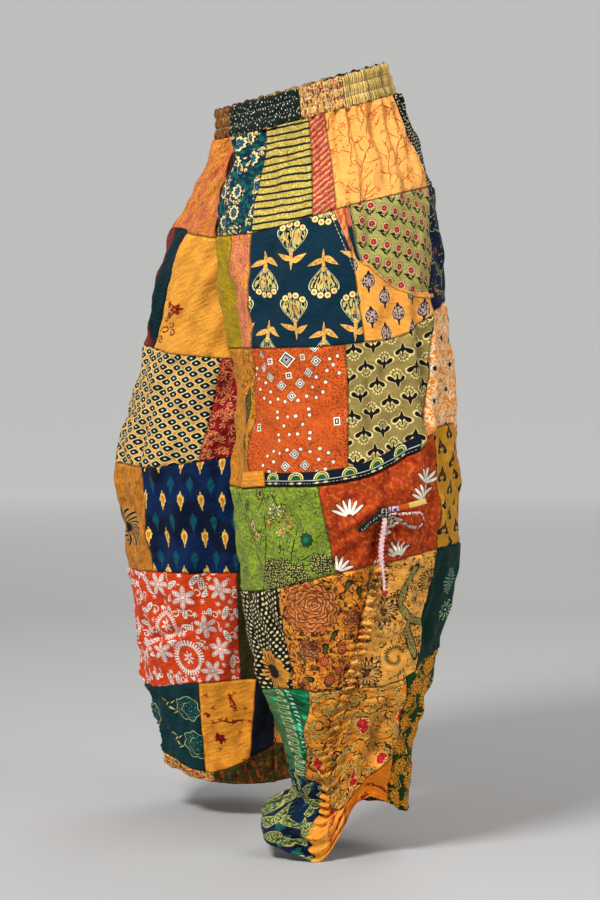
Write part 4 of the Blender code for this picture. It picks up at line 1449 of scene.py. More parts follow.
def buds(dark, core, width, height, size, x=0, y=0):
    """Small three-lobed buds with hatched hearts, every second column dropped by half."""
    cell = repeat(width, height, drop=0.5, x=x, y=y)
    bud = ovals(cell, (0, 0.6, size * 0.5, size, 0),
        (-size * 0.42, -size * 0.1, size * 0.36, size * 0.72, 16),
        (size * 0.42, -size * 0.1, size * 0.36, size * 0.72, -16),
        (0, size * 0.62, size * 0.7, size * 0.3, 0))
    fill(bud, (1.3, 0.08, 0xFAE2A6, 0.6), (1.1, 0.1, dark))
    hatch = patchy(0.44, 0.52, 2.1, 1, (0.8, 1.5))
    ink(core, within(bud, 0.88, 0.1), hatch)
    stem = ovals(cell, (0, size * 1.25, size * 0.15, size * 0.45, 0),
        (0, -size, size * 0.2, size * 0.3, 0))
    fill(stem, (1, 0.3, dark))


print_cloth(buds, "gold_buds", 0xF6B258, 0.12, 0x2E262E, 0xD8BAAC, 19.5, 44, 9.2, 6, 29)
print_cloth(buds, "golden_buds", 0xE8A84E, 0.12, 0x3C2828, 0xD0A078, 19, 38, 7)


@printed(0xD49E32, 0.14)
def mustard_tulips():
    """Clusters of dark leaves round a red heart, on mustard."""
    cell = repeat(22, 33, drop=0.5, x=1, y=2)
    leaves = drops(cell, (0, -5, 4.6, 6.6, 180), (-5.2, 0.6, 4.4, 7, 212), (5.2, 0.6, 4.4, 7, 148),
        (-4.4, 6, 3, 4.6, 262), (4.4, 6, 3, 4.6, 98))
    fill(leaves, (1.24, 0.08, 0xEED074, 0.7), (1.02, 0.1, 0x22281A))
    ink(0x786A30, within(leaves, 0.52, 0.1), patchy(0.48, 0.54, 2))
    fill(ovals(cell, (0, -1, 1.6, 3.6, 0)), (1, 0.2, 0xA63228))
    ink(0x2A281A, dotted(0.8, 0.3, 16, 0.6), 0.7)


def plain(speck):
    ink(speck, patchy(0.54, 0.66, 2.6, 2, (0.7, 1.6)), 0.65)


print_cloth(plain, "olive_plain", 0xB49A16, 0.2, 0x806A0E)
print_cloth(plain, "teal_plain", 0x06343C, 0.16, 0x0E545C)
print_cloth(plain, "maroon_plain", 0x843432, 0.2, 0xBE5A46)
# painted shade: the next two plains are dark cottons darkened further to the shade on the inner side of the
# right leg, where they lie
print_cloth(plain, "olive_dark", 0x423A14, 0.25, 0x645822)
print_cloth(plain, "navy_brown", 0x0A1628, 0.2, 0x1E2C3C)


@printed(0xD09232, 0.16)
def ochre_plain():
    """Ochre with a few long olive leaves near its outer edge."""
    ink(0xA46A20, patchy(0.54, 0.64, 5, 3, (0.7, 1.8)), 0.7)
    leaf = ovals(cloth.place, (184, 84, 5.2, 22, 4), (184, 130, 4, 15, -4), (188, 60, 3, 7, 10),
        (180, 150, 3.2, 7, -30))
    fill(leaf, (1.06, 0.06, 0x3C4022))
    ink(0x867C3E, within(leaf, 0.86, 0.08), patchy(0.46, 0.54, 1.8))
    vine = both(lines(9, 0.9), fade(apart(cloth.place)[0], 168, 176))
    ink(0x603C1E, vine, 0.7)


def crackle(other, vein):
    """Two mottled dyes in long soft streaks, with fine crackle in both."""
    ink(other, patchy(0.49, 0.53, 17, 2, (0.62, 2.4)))
    ink(vein, lines(3.2, 0.8, 2), 0.55)
    ink(0xA8423A, patchy(0.57, 0.66, 2, 2), 0.6)
    ink(0x784222, patchy(0.6, 0.68, 4.2, 2, (0.5, 2.4)), 0.5)


print_cloth(crackle, "crackle_gold", 0xD26C4E, 0.16, 0xD8962C, 0xECAE6C)
print_cloth(crackle, "salmon_plain", 0xD47458, 0.16, 0xE0923C, 0xF0B886)


@printed(0x003E50, 0.12)
def teal_tulips():
    """Pale tulips with gold leaves, upright in one column and hanging in the next."""
    cell = repeat(40, 92, drop=0.5, x=15, y=12, flip=True)
    leaves = drops(cell, (-10.5, -18, 5.2, 10.5, 68), (10, -20, 5.8, 10, -58), (0, -27, 3, 9, 180))
    stem = ovals(cell, (0, -14, 2.2, 8, 0))
    leaves = number("MINIMUM", leaves, stem)
    fill(leaves, (1.12, 0.06, 0x121A1E), (0.98, 0.08, 0xF6C874))
    ink(0xBE7832, within(leaves, 0.8), lines(4, 0.8), 0.7)
    lobes = ((-9, 3, 8, 15, 204), (9.5, 3, 8, 15, 156), (-4, 6, 7, 14, 188), (5, 5, 7, 14.5, 170))
    for petal in lobes:
        bloom = drops(cell, petal)
        fill(bloom, (1.1, 0.04, 0xFAF2CE), (1, 0.04, 0x101418), (0.86, 0.05, 0xD6C87E))
        veins = patchy(0.52, 0.55, 6, 1, (0.5, 1.7), petal[4])
        ink(0x161A1E, within(bloom, 0.84, 0.05), veins)
    ink(0xEAAC5A, within(ovals(cell, (0, 6, 8, 8, 0)), 1, 0.1), patchy(0.46, 0.4, 7))
    heads = ovals(cell, (-12, 19, 4.2, 4.2, 0), (-4, 23, 4.2, 4.2, 0), (5, 23, 4.2, 4.2, 0),
        (13, 18, 4.2, 4.2, 0))
    fill(heads, (1.18, 0.08, 0x181A1C), (0.94, 0.1, 0xFAE8AA), (0.42, 0.12, 0xE29646))
    # a wedge of salmon cotton is let in beside the pocket, and a row of cream stitches runs inside it
    u, v = apart(at(0, 0, -6))
    slant = sloped(v, -0.3, u)
    stitch = ring(cycle(v, 5.2), 2.6, 1.7, 0.4)
    ink(0xE2D8AC, ring(slant, 126.5, 0.35, 0.3), stitch, fade(v, 74, 72))
    wedge = both(fade(slant, 131.3, 131.8), fade(v, 42.5, 42))
    ink(0xD0744E, wedge)
    ink(0xECA468, wedge, patchy(0.48, 0.54, 6, 2, (0.6, 2)))
    ink(0x54281E, ring(slant, 131.4, 0.5, 0.4), fade(v, 42.5, 42))


@printed(0xB8B06C, 0.14)
def facing_buti():
    """Small red flowers with cream edges and dark leaves on olive, in slanting rows."""
    cell = rows(17.8, 20.8, 8.6, x=2, y=4, turn=22)
    leaves = drops(cell, (-6, 2.6, 2, 5, 106), (-4.4, 6.2, 1.8, 4.4, 136), (3.6, 5.6, 1.6, 3.8, 232),
        (0, 8, 0.9, 3.6, 180))
    fill(leaves, (1.05, 0.15, 0x1E241C))
    bloom = flower(cell, 6, 9, 0.13, 0.8, -1.6)
    fill(bloom, (1.14, 0.07, 0x28221C), (0.98, 0.06, 0xF0D6AA), (0.74, 0.06, 0x3C1E1E),
        (0.64, 0.08, 0xB61E2E), (0.22, 0.08, 0xE2786E))


@printed(0xF4AC52)
def mouth_edge():
    """The mouth's rolled edge is teal above and gold below, as the patches beside it are."""
    across, along = apart(cloth.place)
    ink(0x083E4E, fade(along, 74, 70))
    ink(0xD87654, fade(along, 28, 22))
    line = ring(across, 4.3, 0.35, 0.25)
    ink(0xF0DEB4, line)


@printed(0xA8965C, 0.16)
def khaki_buti():
    """Sprigs of three dark leaves and a dotted half ring, every second one upside down."""
    cell = rows(25.8, 25, 6.8, x=-4, y=2, turn=-17, flip=True)
    leaves = drops(cell, (0, -6.6, 3.8, 5.8, 180), (-5.2, -2.4, 3.9, 6, 232), (5.2, -2.4, 3.9, 6, 128))
    leaves = number("MINIMUM", leaves, ovals(cell, (0, 0, 0.9, 6, 0)))
    fill(leaves, (1.36, 0.1, 0xF0E2A6), (1.04, 0.12, 0x24161E))
    away, angle = polar(cell, 0, 3.4)
    beads = number("ABSOLUTE", number("SINE", number("MULTIPLY", angle, 5.5)))
    lower = fade(angle, -0.3, 0.1)
    ink(0xF2E4A8, ring(away, 6.8, 0.9, 0.4), fade(beads, 0.45, 0.7), lower)
    ink(0x342224, ring(away, 4.6, 0.8, 0.4), fade(beads, 0.65, 0.4), lower)
    ink(0xF2E4A8, ring(away, 2.9, 0.35, 0.3), lower)


@printed(0xD47030, 0.16)
def orange_bandhani():
    """Tie-dye print: dots and squares on their corners, the same on each side and up and down."""
    ink(0xC85022, patchy(0.54, 0.62, 3.2, 2), 0.7)
    u, v = apart(at(68, 101, -4))
    folded = together(number("ABSOLUTE", u), number("ABSOLUTE", v))
    fine = dotted(0.8, 0.3, 4.3, 0.85)
    far = fade(vector("LENGTH", folded), 46, 62)
    clouds = number("MAXIMUM", far, patchy(0.57, 0.61, 13, 1))
    ink(0x78221A, fine, clouds)
    squares = [(0, 84.5, 11), (27, 64.5, 6.6), (12, 52, 6.6), (0, 37, 6.6), (39.5, 78, 6.6), (74, 1, 8),
        (40, 95, 6)]
    small = [(22, 85), (0, 64), (55, 1)]
    for x, y, half in squares:
        away = diamond(folded, x, y)
        fill(away, (half + 1.1, 0.3, 0x4E1E1E, 0.7), (half, 0.3, 0xF4F0E2))
        ink(0x1E1E2C, ring(away, half * 0.66, half * 0.12, 0.25))
        fill(away, (half * 0.24, 0.3, 0x1E1E2C))
        if half > 10:
            ink(0x1E1E2C, ring(away, half * 0.4, 0.7, 0.25))
    for x, y in small:
        away = diamond(moved(folded, x, y, 45))
        fill(away, (5.6, 0.3, 0xF4F0E2), (3.4, 0.3, 0x1E1E2C), (1.3, 0.3, 0xF4F0E2))
    dots = [(30, 45.5), (37, 58), (42, 38), (32, 32), (20, 35), (9, 31), (21, 18.5), (21.5, 11),
        (5.5, 11.5), (12.5, 0), (47, 50), (50.5, 64), (56, 78), (59, 70), (65, 59), (66, 80)]
    spots = ovals(folded, *[(x, y, 2.1, 2.1, 0) for x, y in dots])
    fill(spots, (1.4, 0.2, 0x60221C, 0.8), (1, 0.2, 0xFAF0DA))


@printed(0xF4A04E, 0.12)
def orange_swirls():
    """White curls and small dark flowers on pale orange."""
    for size, x, radius in ((19, 0, 5), (15, 7, 3.6)):
        away, _ = spiral(scatter(size, 0.8, x, x, spin=True), 1, 0, radius)
        fill(away, (0.75, 0.3, 0xFCE8C4))
    ink(0xFADEB0, lines(7, 1.1))
    head = ovals(scatter(30, 0.5), (0, 0, 2.6, 2.9, 0))
    fill(head, (2.4, 0.3, 0xFAE2BA))
    ink(0x964632, within(head, 2.3, 0.2), patchy(0.52, 0.58, 1.8))
    fill(head, (1, 0.2, 0x3E1628))


@printed(0x06263A)
def navy_shells():
    """Cream half shells with green and yellow hearts, and a row of small arcs below."""
    cell = repeat(34, 60, x=0, y=-20.6)
    away, _ = polar(cell, 0, 0)
    dome = fade(apart(cell)[1], 0.4, -0.2)
    for radius, colour in ((9.4, 0xF0E8A0), (7.8, 0x0A2230), (6.8, 0xCECE60), (5.2, 0x0C222C),
            (4.4, 0x2C7060)):
        ink(colour, within(away, radius, 0.35), dome)
    ink(0xE8E8E2, ring(apart(cell)[1], 1.3, 0.45, 0.3), 0.9)
    low = ovals(cell, (-5, 4.6, 2.8, 1.3, 0), (5, 4.6, 2.8, 1.3, 0))
    fill(low, (1, 0.2, 0xECE296))


@printed(0xA0B246, 0.18)
def lime_garden():
    """Thin dark stems, leaves and mixed flowers on lime, with a bush of dots."""
    ink(0x74902C, patchy(0.5, 0.6, 4, 3), 0.8)
    ink(0x2C3A20, lines(9, 0.7), patchy(0.54, 0.57, 24), 0.8)
    stems = ovals(cloth.place, (224, 80, 0.8, 30, -28), (246, 60, 0.8, 46, 6), (262, 14, 0.8, 18, -30),
        (286, 68, 0.8, 24, 8), (300, 84, 0.8, 20, 60), (238, 18, 1, 15, 36), (276, 100, 0.8, 16, -40),
        (206, 26, 0.7, 14, 10))
    fill(stems, (1, 0.3, 0x28341E))
    leaf = drops(scatter(16, 0.9, spin=True), (0, 0, 2.4, 6.6, 0), (3, 4, 1.6, 4.6, 50))
    fill(leaf, (1.3, 0.1, 0x222C1C, 0.85), (1.05, 0.1, 0xCED080, 0.8), (0.75, 0.1, 0x789238))
    bush = flower(at(0, 0, 0, 1, 0.6), 40, 9, 0.08, 268, 178)
    for place in (bush, ovals(cloth.place, (322, 90, 16, 14, 0))):
        inside = within(place, 1, 0.05)
        ink(0x545C28, inside, 0.85)
        ink(0x2C301A, inside, patchy(0.48, 0.54, 2.6, 1))
        ink(0xDED68E, inside, dotted(0.75, 0.3, 2.9, 0.8))
    heads = [(262, 26, 12, 7, 0.4, 0xF0E4AA, 0x166454), (276, 40, 11, 6, 0.5, 0xECAA64, 0x146E5A),
        (254, 40, 7, 5, 0.4, 0xE6963C, 0xF0DC96), (270, 52, 9, 6, 0.5, 0xEEE0AA, 0xE28C3C),
        (304, 60, 9.5, 9, 0.08, 0x1E765C, 0x34966E), (222, 48, 10, 10, 0.12, 0xECDE96, 0x605428),
        (214, 68, 11, 12, 0.08, 0xE8BE78, 0x784A28), (232, 60, 8, 8, 0.1, 0xECDC8C, 0x6E5A28),
        (236, 6, 9, 9, 0.1, 0xB0AA56, 0x464C24), (208, 22, 8, 8, 0.2, 0x96964A, 0x3C4622)]
    for x, y, size, lobes, depth, petal, core in heads:
        head = flower(cloth.place, size, lobes, depth, x, y)
        fill(head, (1, 0.05, 0x1C241A), (0.84, 0.06, petal))
        ink(0x3C3C24, within(head, 0.84, 0.06), patchy(0.52, 0.58, 2.2), 0.8)
        fill(head, (0.38, 0.06, core))


@printed(0xC05420, 0.2)
def red_fans():
    """White fans of petals on a mottled brick red."""
    ink(0xDE8240, patchy(0.52, 0.66, 5, 3, turn=30), 0.75)
    ink(0xA43016, patchy(0.56, 0.66, 9, 3, (0.8, 1.6), -20), 0.75)
    for cell in (repeat(50, 124, drop=0.5, x=-9, y=-18, turn=-10),
            repeat(50, 124, drop=0.5, x=-4, y=44, turn=9)):
        fan = petals(cell, 16, 13, 1.8, 9.5)
        up = within(number("ABSOLUTE", number("ADD", polar(cell)[1], math.pi / 2)), 1.15, 0.04)
        ink(0x541A14, within(fan, 1.24, 0.1), up, 0.85)
        ink(0xFCF8E8, within(fan, 0.98, 0.12), up)


@printed(0xE25824, 0.12)
def orange_roses():
    """Flowers of six separate petals, bristled loops, dotted pods and small stars on orange-red."""
    white, dark = (0xFAEEE2, 0x68282C)
    small = flower(scatter(17, 0.7, 5, 3, spin=True), 4.2, 6, 0.45)
    fill(small, (1, 0.12, white))
    away, _ = spiral(scatter(23, 0.8, 2, 4, spin=True), 1, 0, 5.6)
    fill(away, (0.75, 0.25, white))
    pod = ovals(scatter(24, 0.75, 9, 2, spin=True), (0, 0, 3.8, 9.6, 0))
    fill(pod, (1.3, 0.06, 0xD85024), (1.05, 0.06, white))
    beads = dotted(1, 0.25, 3.1, 0.1)
    ink(dark, within(pod, 0.76, 0.08), beads)
    for x, y, across, down, turn in ((76, 124, 20, 22, 24), (108, 78, 16, 18, -20)):
        loop = ovals(cloth.place, (x, y, across, down, turn))
        place = at(x, y)
        comb = fade(wave(polar(place)[1], 34), -0.45, 0.05)
        fill(loop, (1.3, 0.03, 0xDA5224))
        ink(white, ring(loop, 1.02, 0.2, 0.03), comb)
        ink(white, ring(loop, 0.96, 0.035, 0.02))
        fill(loop, (0.74, 0.03, 0xE6602C))
        fill(petals(place, 7, 6, 1.5, 4.2), (1, 0.12, white))
    for x, y, turn in ((76, 36, 0), (26, 23, 20), (48, 77, 5), (116, 20, 30), (28, 109, 12), (40, 142, 28),
            (118, 118, 10)):
        cell = at(x, y, turn)
        fill(vector("LENGTH", cell), (18, 0.4, 0xDE5424))
        head = petals(cell, 6, 9.8, 3.5, 6.8)
        fill(head, (1, 0.06, white))
        ink(0xD496A0, within(head, 0.74, 0.08), beads)
        ink(0x783232, ring(head, 0.78, 0.06, 0.05), 0.7)
        fill(vector("LENGTH", cell), (2.3, 0.3, white))


def leafy(pitch, dark, tone, start):
    """Small outlined leaves, thick in some places and none in others."""
    leaf = drops(scatter(pitch, 0.9, pitch, spin=True), (0, 0, pitch * 0.24, pitch * 0.46, 0))
    near = patchy(start, start + 0.03, 24, 1, turn=pitch * 7)
    ink(dark, within(leaf, 1.05, 0.12), near)
    ink(tone, within(leaf, 0.66, 0.14), near)


@printed(0xF0A848, 0.14)
def peony():
    """A large many-petalled flower, a smaller one, dark leaves and berries on gold."""
    ink(0xCE7A2A, patchy(0.52, 0.6, 22, 1), 0.7)
    leafy(7.5, 0x462618, 0xCE803C, 0.46)
    leafy(11, 0x3C2C1A, 0x8C7438, 0.49)
    ink(0x562A18, lines(9, 0.8))
    for x, y, size, lobes, tone in ((41, 24, 36, 11, 0xD68648), (36, 76, 15, 9, 0xCC9658),
            (92, 40, 13, 9, 0xC46E38)):
        turn = 0
        for share in (1, 0.86, 0.73, 0.6, 0.48, 0.36, 0.24, 0.13):
            place = at(x + 5 * (1 - share), y - 6 * (1 - share), turn)
            layer = flower(place, size * share, max(4, round(lobes * share)), 0.09)
            fill(layer, (1, 0.9 / (size * share), 0x74341E))
            edge = 1 - 1.5 / (size * share)
            fill(layer, (edge, 0.8 / (size * share), 0xEEB06A),
                (edge - 1.6 / (size * share), 1.2 / (size * share), tone))
            turn += 47
        whole = within(flower(cloth.place, size, lobes, 0.1, x, y), 1, 0.03)
        ink(0x8C4224, whole, patchy(0.53, 0.6, 4.2, 2, (1.5, 0.7)), 0.8)
    for x, y, size in ((77, 80, 5), (54, 92, 4.4), (58, 117, 5.4), (70, 108, 4.2)):
        berry = ovals(cloth.place, (x, y, size, size * 1.2, 10))
        fill(berry, (1.2, 0.08, 0x60241E), (0.98, 0.08, 0xDE8254))
        ink(0x9C3228, within(berry, 0.95), dotted(0.75, 0.2, 2.4, 0.3))
    for x, y, turn in ((56, 78, 10), (84, -4, 20), (98, 6, -10), (66, 62, 35), (30, 112, 100)):
        leaf = drops(cloth.place, (x, y, 4.6, 8.2, turn))
        fill(leaf, (1.12, 0.06, 0x342216), (0.78, 0.08, 0x606834))


@printed(0xFCBE62)
def paisley_gold():
    """Thick olive stems, feathery flowers, a bristled curl and small leaves on gold."""
    leafy(6.6, 0x543A22, 0xF0D494, 0.44)
    leafy(10, 0x4A3C24, 0xC0AC70, 0.47)
    ink(0x54301A, lines(6.5, 0.8), patchy(0.47, 0.51, 24, 1))
    stems = ovals(cloth.place, (56, 17, 4.4, 17, 31), (46, 40, 4.6, 15, 15), (51, 62, 4.4, 15, -35),
        (78, 77, 4.4, 25, -76), (61, 86, 4.2, 16, -15), (69, 110, 4.2, 18, -16), (116, 84, 4, 20, -82))
    fill(stems, (1.16, 0.05, 0x322818), (0.94, 0.06, 0xB2A468))
    ink(0x625C32, within(stems, 0.9, 0.06), patchy(0.52, 0.58, 2.4, 1), 0.8)
    for x, y, size in ((24, 60, 18), (14, 22, 14), (6, 146, 21), (86, 22, 14), (96, 118, 15)):
        place = at(x, y, x)
        ragged = wavy(petals(place, 17, size * 0.56, size * 0.115, size * 0.44), 1.2, 6, 1)
        fill(ragged, (1.72, 0.1, 0x482C1A), (1.26, 0.1, 0xD4AA66))
        fill(vector("LENGTH", place), (size * 0.2, 0.5, 0x78462C))
    away, angle = spiral(cloth.place, 45, 124, 16, 160)
    comb = fade(wave(angle, 26), -0.1, 0.35)
    fill(polar(cloth.place, 45, 124)[0], (20, 0.8, 0xFCBE62))
    ink(0x40361E, within(away, 3.8, 0.4), comb)
    fill(away, (1.4, 0.4, 0x84743E))


@printed(0x04423A, 0.12)
def teal_stars():
    """Two large stars of cream strokes and sprays of fine dots on dark teal."""
    dots = both(dotted(0.6, 0.25, 4.6, 0.9), patchy(0.55, 0.6, 30))
    ink(0x407A68, dots)
    cell = moved(repeat(128, 126, drop=0.5, x=-8, y=-16), 0, 0, 0, 1.7, 1)
    ink(0x8EAA8E, rays(cell, 0, 0, 7, 17, 21))
    star = moved(repeat(128, 126, drop=0.5, x=-4, y=22), 0, 0, 0, 1.8, 1)
    ink(0xA0C08E, rays(star, 0, 0, 4.2, 10.5, 12))
    away, angle = polar(star)
    bead = fade(wave(angle, 12), 0.2, 0.6)
    ink(0xD6E2C8, ring(away, 13, 0.6, 0.4), bead)
    fill(away, (1.3, 0.4, 0xD6E2C8))


@printed(0x0E8254, 0.2)
def emerald_fern():
    """Pale looped strokes down the inner side of emerald cotton, with a row of dashes beside them."""
    ink(0x46CC9E, patchy(0.54, 0.64, 16, 3, (2.2, 0.6), 8))
    ink(0x0A5236, patchy(0.52, 0.62, 12, 3, (2.4, 0.6), 8), 0.9)
    across, down = apart(at(150, 20, -11))
    ink(0x688454, fade(across, 4, -4), patchy(0.34, 0.46, 9, 2), 0.85)
    slant = sloped(across, -0.18, down)
    slant = wavy(slant, 5, 9, 1)
    wing = both(fade(across, -25, -23), fade(across, 1, -1))
    loop = cycle(slant, 8.6)
    ink(0xCED8AA, ring(loop, 4.3, 2.4, 0.4), wing)
    ink(0x60804E, ring(loop, 4.3, 1.3, 0.4), fade(across, -22, -20), fade(across, -3, -5))
    dash = both(fade(across, 5, 6), fade(across, 13, 11))
    ink(0xCEECD4, ring(cycle(slant, 5.4), 2.7, 0.9, 0.3), dash)


@printed(0xF8AE46, 0.14)
def gold_swirls():
    """Long dark curls, clusters of olive leaf strokes and red flowers on gold."""
    ink(0xCE741C, patchy(0.54, 0.6, 24, 1), 0.5)
    dark = 0x341E12
    for pitch, x, radius in ((34, 19, 12.5), (27, 14, 7.5)):
        away, angle = spiral(scatter(pitch, 0.8, x, x, spin=True), 2, 0, radius)
        ink(dark, within(away, 0.9, 0.3), fade(angle, -1.4, -1.1))
    ink(dark, lines(30, 1.1))
    for pitch, x, size in ((24, 0, 10), (29, 11, 12)):
        cell = scatter(pitch, 0.7, x, 2 * x, spin=True)
        strokes = [(size * 0.75 * math.sin(math.radians(t)), -size * 0.75 * math.cos(math.radians(t)),
            size * 0.17, size * 0.6, t) for t in (-58, -28, 0, 28, 58, 150, 205)]
        leaves = drops(cell, *strokes)
        fill(leaves, (1.1, 0.12, dark), (0.86, 0.12, 0xFAD684), (0.56, 0.15, 0x888036))
    reds = ((73, 66, 8.5, 8.5, 0), (77, 76, 5.5, 7, 20), (123, 50, 5.5, 14, 8), (102, 128, 5, 13, 24),
        (60, 158, 5.5, 8, -20), (60, 148, 3, 12, 10), (8, 96, 8, 10, 10))
    fill(ovals(cloth.place, *reds), (1.22, 0.08, 0xFCCE82))
    ragged = wavy(ovals(cloth.place, *reds), 1.3, 3, 1)
    fill(ragged, (1.62, 0.06, 0xCE2432))
    ink(0xF06E6E, within(ragged, 1.5, 0.06), patchy(0.56, 0.6, 3, 1), 0.8)


@printed(0x224C16, 0.14)
def green_floral():
    """Gold daisies full of small marks and long leaf strokes on dark green."""
    leaf = drops(scatter(17, 0.75, spin=True), (0, 0, 3, 13, 0), (4, 3, 2.4, 10, 40))
    fill(leaf, (1, 0.08, 0xF0B842), (0.55, 0.12, 0x464A1C))
    head = flower(scatter(30, 0.5, 5, 5), 14.5, 13, 0.12)
    fill(head, (1.06, 0.05, 0x3C3616), (0.96, 0.05, 0xF2AC2E))
    ink(0x6E541A, within(head, 0.94), patchy(0.5, 0.56, 2.2, 1))


@printed(0x082C52, 0.16)
def navy_leaves():
    """Large veined olive and cream leaves on navy, with teal shading."""
    ink(0x06182E, patchy(0.52, 0.6, 12, 2, turn=50))
    ink(0x286C68, patchy(0.55, 0.6, 9, 2, (0.7, 1.8), 30))
    for pitch, x, across, down in ((26, 0, 8.5, 14.5), (19, 9, 5, 11.5)):
        cell = scatter(pitch, 0.6, x, x, spin=True)
        leaf = drops(cell, (0, 0, across, down, 0))
        fill(leaf, (1.1, 0.04, 0x1C261E), (1, 0.04, 0xCCCA90), (0.86, 0.06, 0x768A50))
        u, v = apart(cell)
        vein = cycle(sloped(number("ABSOLUTE", u), -0.9, v), 3.4)
        ink(0xC0C086, within(leaf, 0.86), ring(vein, 1.7, 0.55, 0.3))
        ink(0x2C3C28, within(leaf, 0.9), patchy(0.54, 0.6, 3, 1), 0.9)


def sprigs(dye, branches, clusters=()):
    """Branches with three-petalled sprigs: a branch is its middle, half its length and its turn."""
    ink(0xCE802C, patchy(0.58, 0.7, 3, 2, (0.7, 1.4)), 0.45)
    bend = wavy(-5, 10, 18, 1)
    u, v = apart(cloth.place)
    bent = together(u, number("ADD", v, bend))
    for x, y, half, turn in branches:
        fill(ovals(bent, (x, y, 1.2, half, turn)), (1, 0.2, dye))
        away = math.radians(turn)
        for share in (-0.8, -0.45, -0.1, 0.25, 0.6, 0.9):
            cell = moved(bent, x - math.sin(away) * half * share, y + math.cos(away) * half * share,
                40 + 130 * share)
            fill(flower(cell, 3.8, 3, 0.46, 0, -3), (1, 0.15, dye))
    for x, y, size in clusters:
        ragged = wavy(polar(cloth.place, x, y)[0], 14, 4.5, 1)
        fill(ragged, (size + 7, 0.7, dye))
    far = within(flower(scatter(34, 0.6, 7, 9, spin=True), 3.4, 3, 0.46), 1, 0.15)
    ink(dye, far)


print_cloth(sprigs, "gold_branch", 0xF6AE42, 0.12, 0x96161E, [(32, 66, 32, 96), (28, 34, 12, 30)],
            [(48, 94, 8), (62, 56, 3)])
print_cloth(sprigs, "orange_branch", 0xEE9224, 0.12, 0x861E16,
            [(42, 6, 20, 110), (70, 12, 16, 20), (16, 30, 16, 40)])
print_cloth(sprigs, "yellow_red", 0xF6B24E, 0.12, 0xC42224, [(14, 30, 14, 10), (18, 60, 14, 60)],
            [(8, 28, 5), (6, 50, 5)])


@printed(0xF0B24E)
def golden_rose():
    """Nearly plain gold, with a red flower and curls near its outer edge."""
    ink(0xD88C32, patchy(0.56, 0.68, 3.2, 2, (0.6, 1.5)), 0.4)
    ink(0x784A28, dotted(0.55, 0.3, 15, 0.9), 0.8)
    wide = at(104, 112, 0, 1.5, 1)
    for x, y, size in ((-8, -4, 8.5), (3, -12, 6), (2, 4, 6)):
        head = flower(wide, size, 6, 0.18, x, y)
        fill(head, (1, 0.08, 0x781A16), (0.78, 0.1, 0xC43220))
        ink(0x821E18, ring(head, 0.42, 0.12, 0.08))
        fill(head, (0.22, 0.1, 0xEC963C))
    for x, y, radius, turn in ((-2, 18, 6, 40), (8, 26, 6, 200), (-6, 30, 5, 120), (12, 38, 6, 300),
            (10, 10, 4, 90)):
        away, _ = spiral(wide, x, y, radius, turn)
        fill(away, (0.95, 0.35, 0x80281C))


@printed(0xECC676, 0.14)
def ikat():
    """Dark green lozenges with pale hearts, in diagonal rows between orange lines."""
    ink(0xD6A85C, patchy(0.54, 0.62, 3, 1), 0.7)
    wide = repeat(21.4, 15.6, turn=-6)
    ink(0xDE7E38, ring(diamond(moved(wide, 0, 0, 0, 10.7, 7.8)), 1, 0.055, 0.05))
    for place in (wide, repeat(21.4, 15.6, turn=-6, x=10.7, y=7.8)):
        lozenge = number("ADD", number("MULTIPLY", diamond(moved(place, 0, 0, 0, 8, 5.2)), 0.5),
            number("MULTIPLY", ovals(place, (0, 0, 6.8, 4.5, 0)), 0.5))
        fill(lozenge, (1.16, 0.05, 0xF8EAB0), (1, 0.07, 0x082226), (0.46, 0.12, 0x1E4A42),
            (0.26, 0.1, 0xE2EAE6))


@printed(0x981824, 0.2)
def coral_branches():
    """Cream branch strokes on deep red, with paler red beside them."""
    ink(0xB83A36, patchy(0.52, 0.6, 9, 2), 0.85)
    leaf = drops(scatter(11, 0.85, spin=True), (0, 0, 1.5, 5.6, 0), (2.6, 1.5, 1.2, 4.2, 40),
        (-2.6, 1.5, 1.2, 4.2, -40))
    fill(leaf, (1.4, 0.15, 0x7E101E, 0.7), (0.82, 0.15, 0xE8AC76))
    ink(0xDE9664, lines(9, 1.1), patchy(0.5, 0.54, 20))


@printed(0x043462, 0.22)
def navy_drops():
    """Rows of gold lozenges between rows of teal ones, soft-edged as woven ikat."""
    ink(0x041E3A, patchy(0.48, 0.6, 50, 1), 0.85)
    uneven = wavy(-0.35, 0.7, 3.4, 1, (0.5, 2))
    shape = [(0, -1.5, 4.4, 7.2, 0), (0, 3, 2.6, 7, 0), (0, 9, 0.9, 5.5, 0), (0, -9, 0.9, 3.2, 0)]
    teal = number("ADD", ovals(repeat(28, 50.5, x=-6, y=-4), *shape), uneven)
    fill(teal, (1, 0.25, 0x166C7E, 0.85))
    drop = number("ADD", ovals(repeat(28, 50.5, x=8, y=17), *shape), uneven)
    fill(drop, (1.02, 0.12, 0xF8DE82), (0.58, 0.25, 0xE49828))


@printed(0xD0923A, 0.16)
def gold_shells():
    """Ochre with a large black and cream fan that reaches in from the front."""
    ink(0xA46024, patchy(0.55, 0.66, 7, 3, (0.5, 2)), 0.7)
    for x, y in ((62, 86), (150, 30)):
        wide = at(x, y, 0, 1.8, 1)
        away, angle = polar(wide)
        bent = sloped(away, 0.022, angle)
        ray = wave(bent, 20)
        inside = both(fade(away, 28, 26), fade(away, 4, 5))
        ink(0xDECA88, inside, fade(ray, -0.45, -0.15))
        ink(0x1A1616, inside, fade(ray, 0, 0.35))
        fill(away, (8, 0.8, 0x301E18))


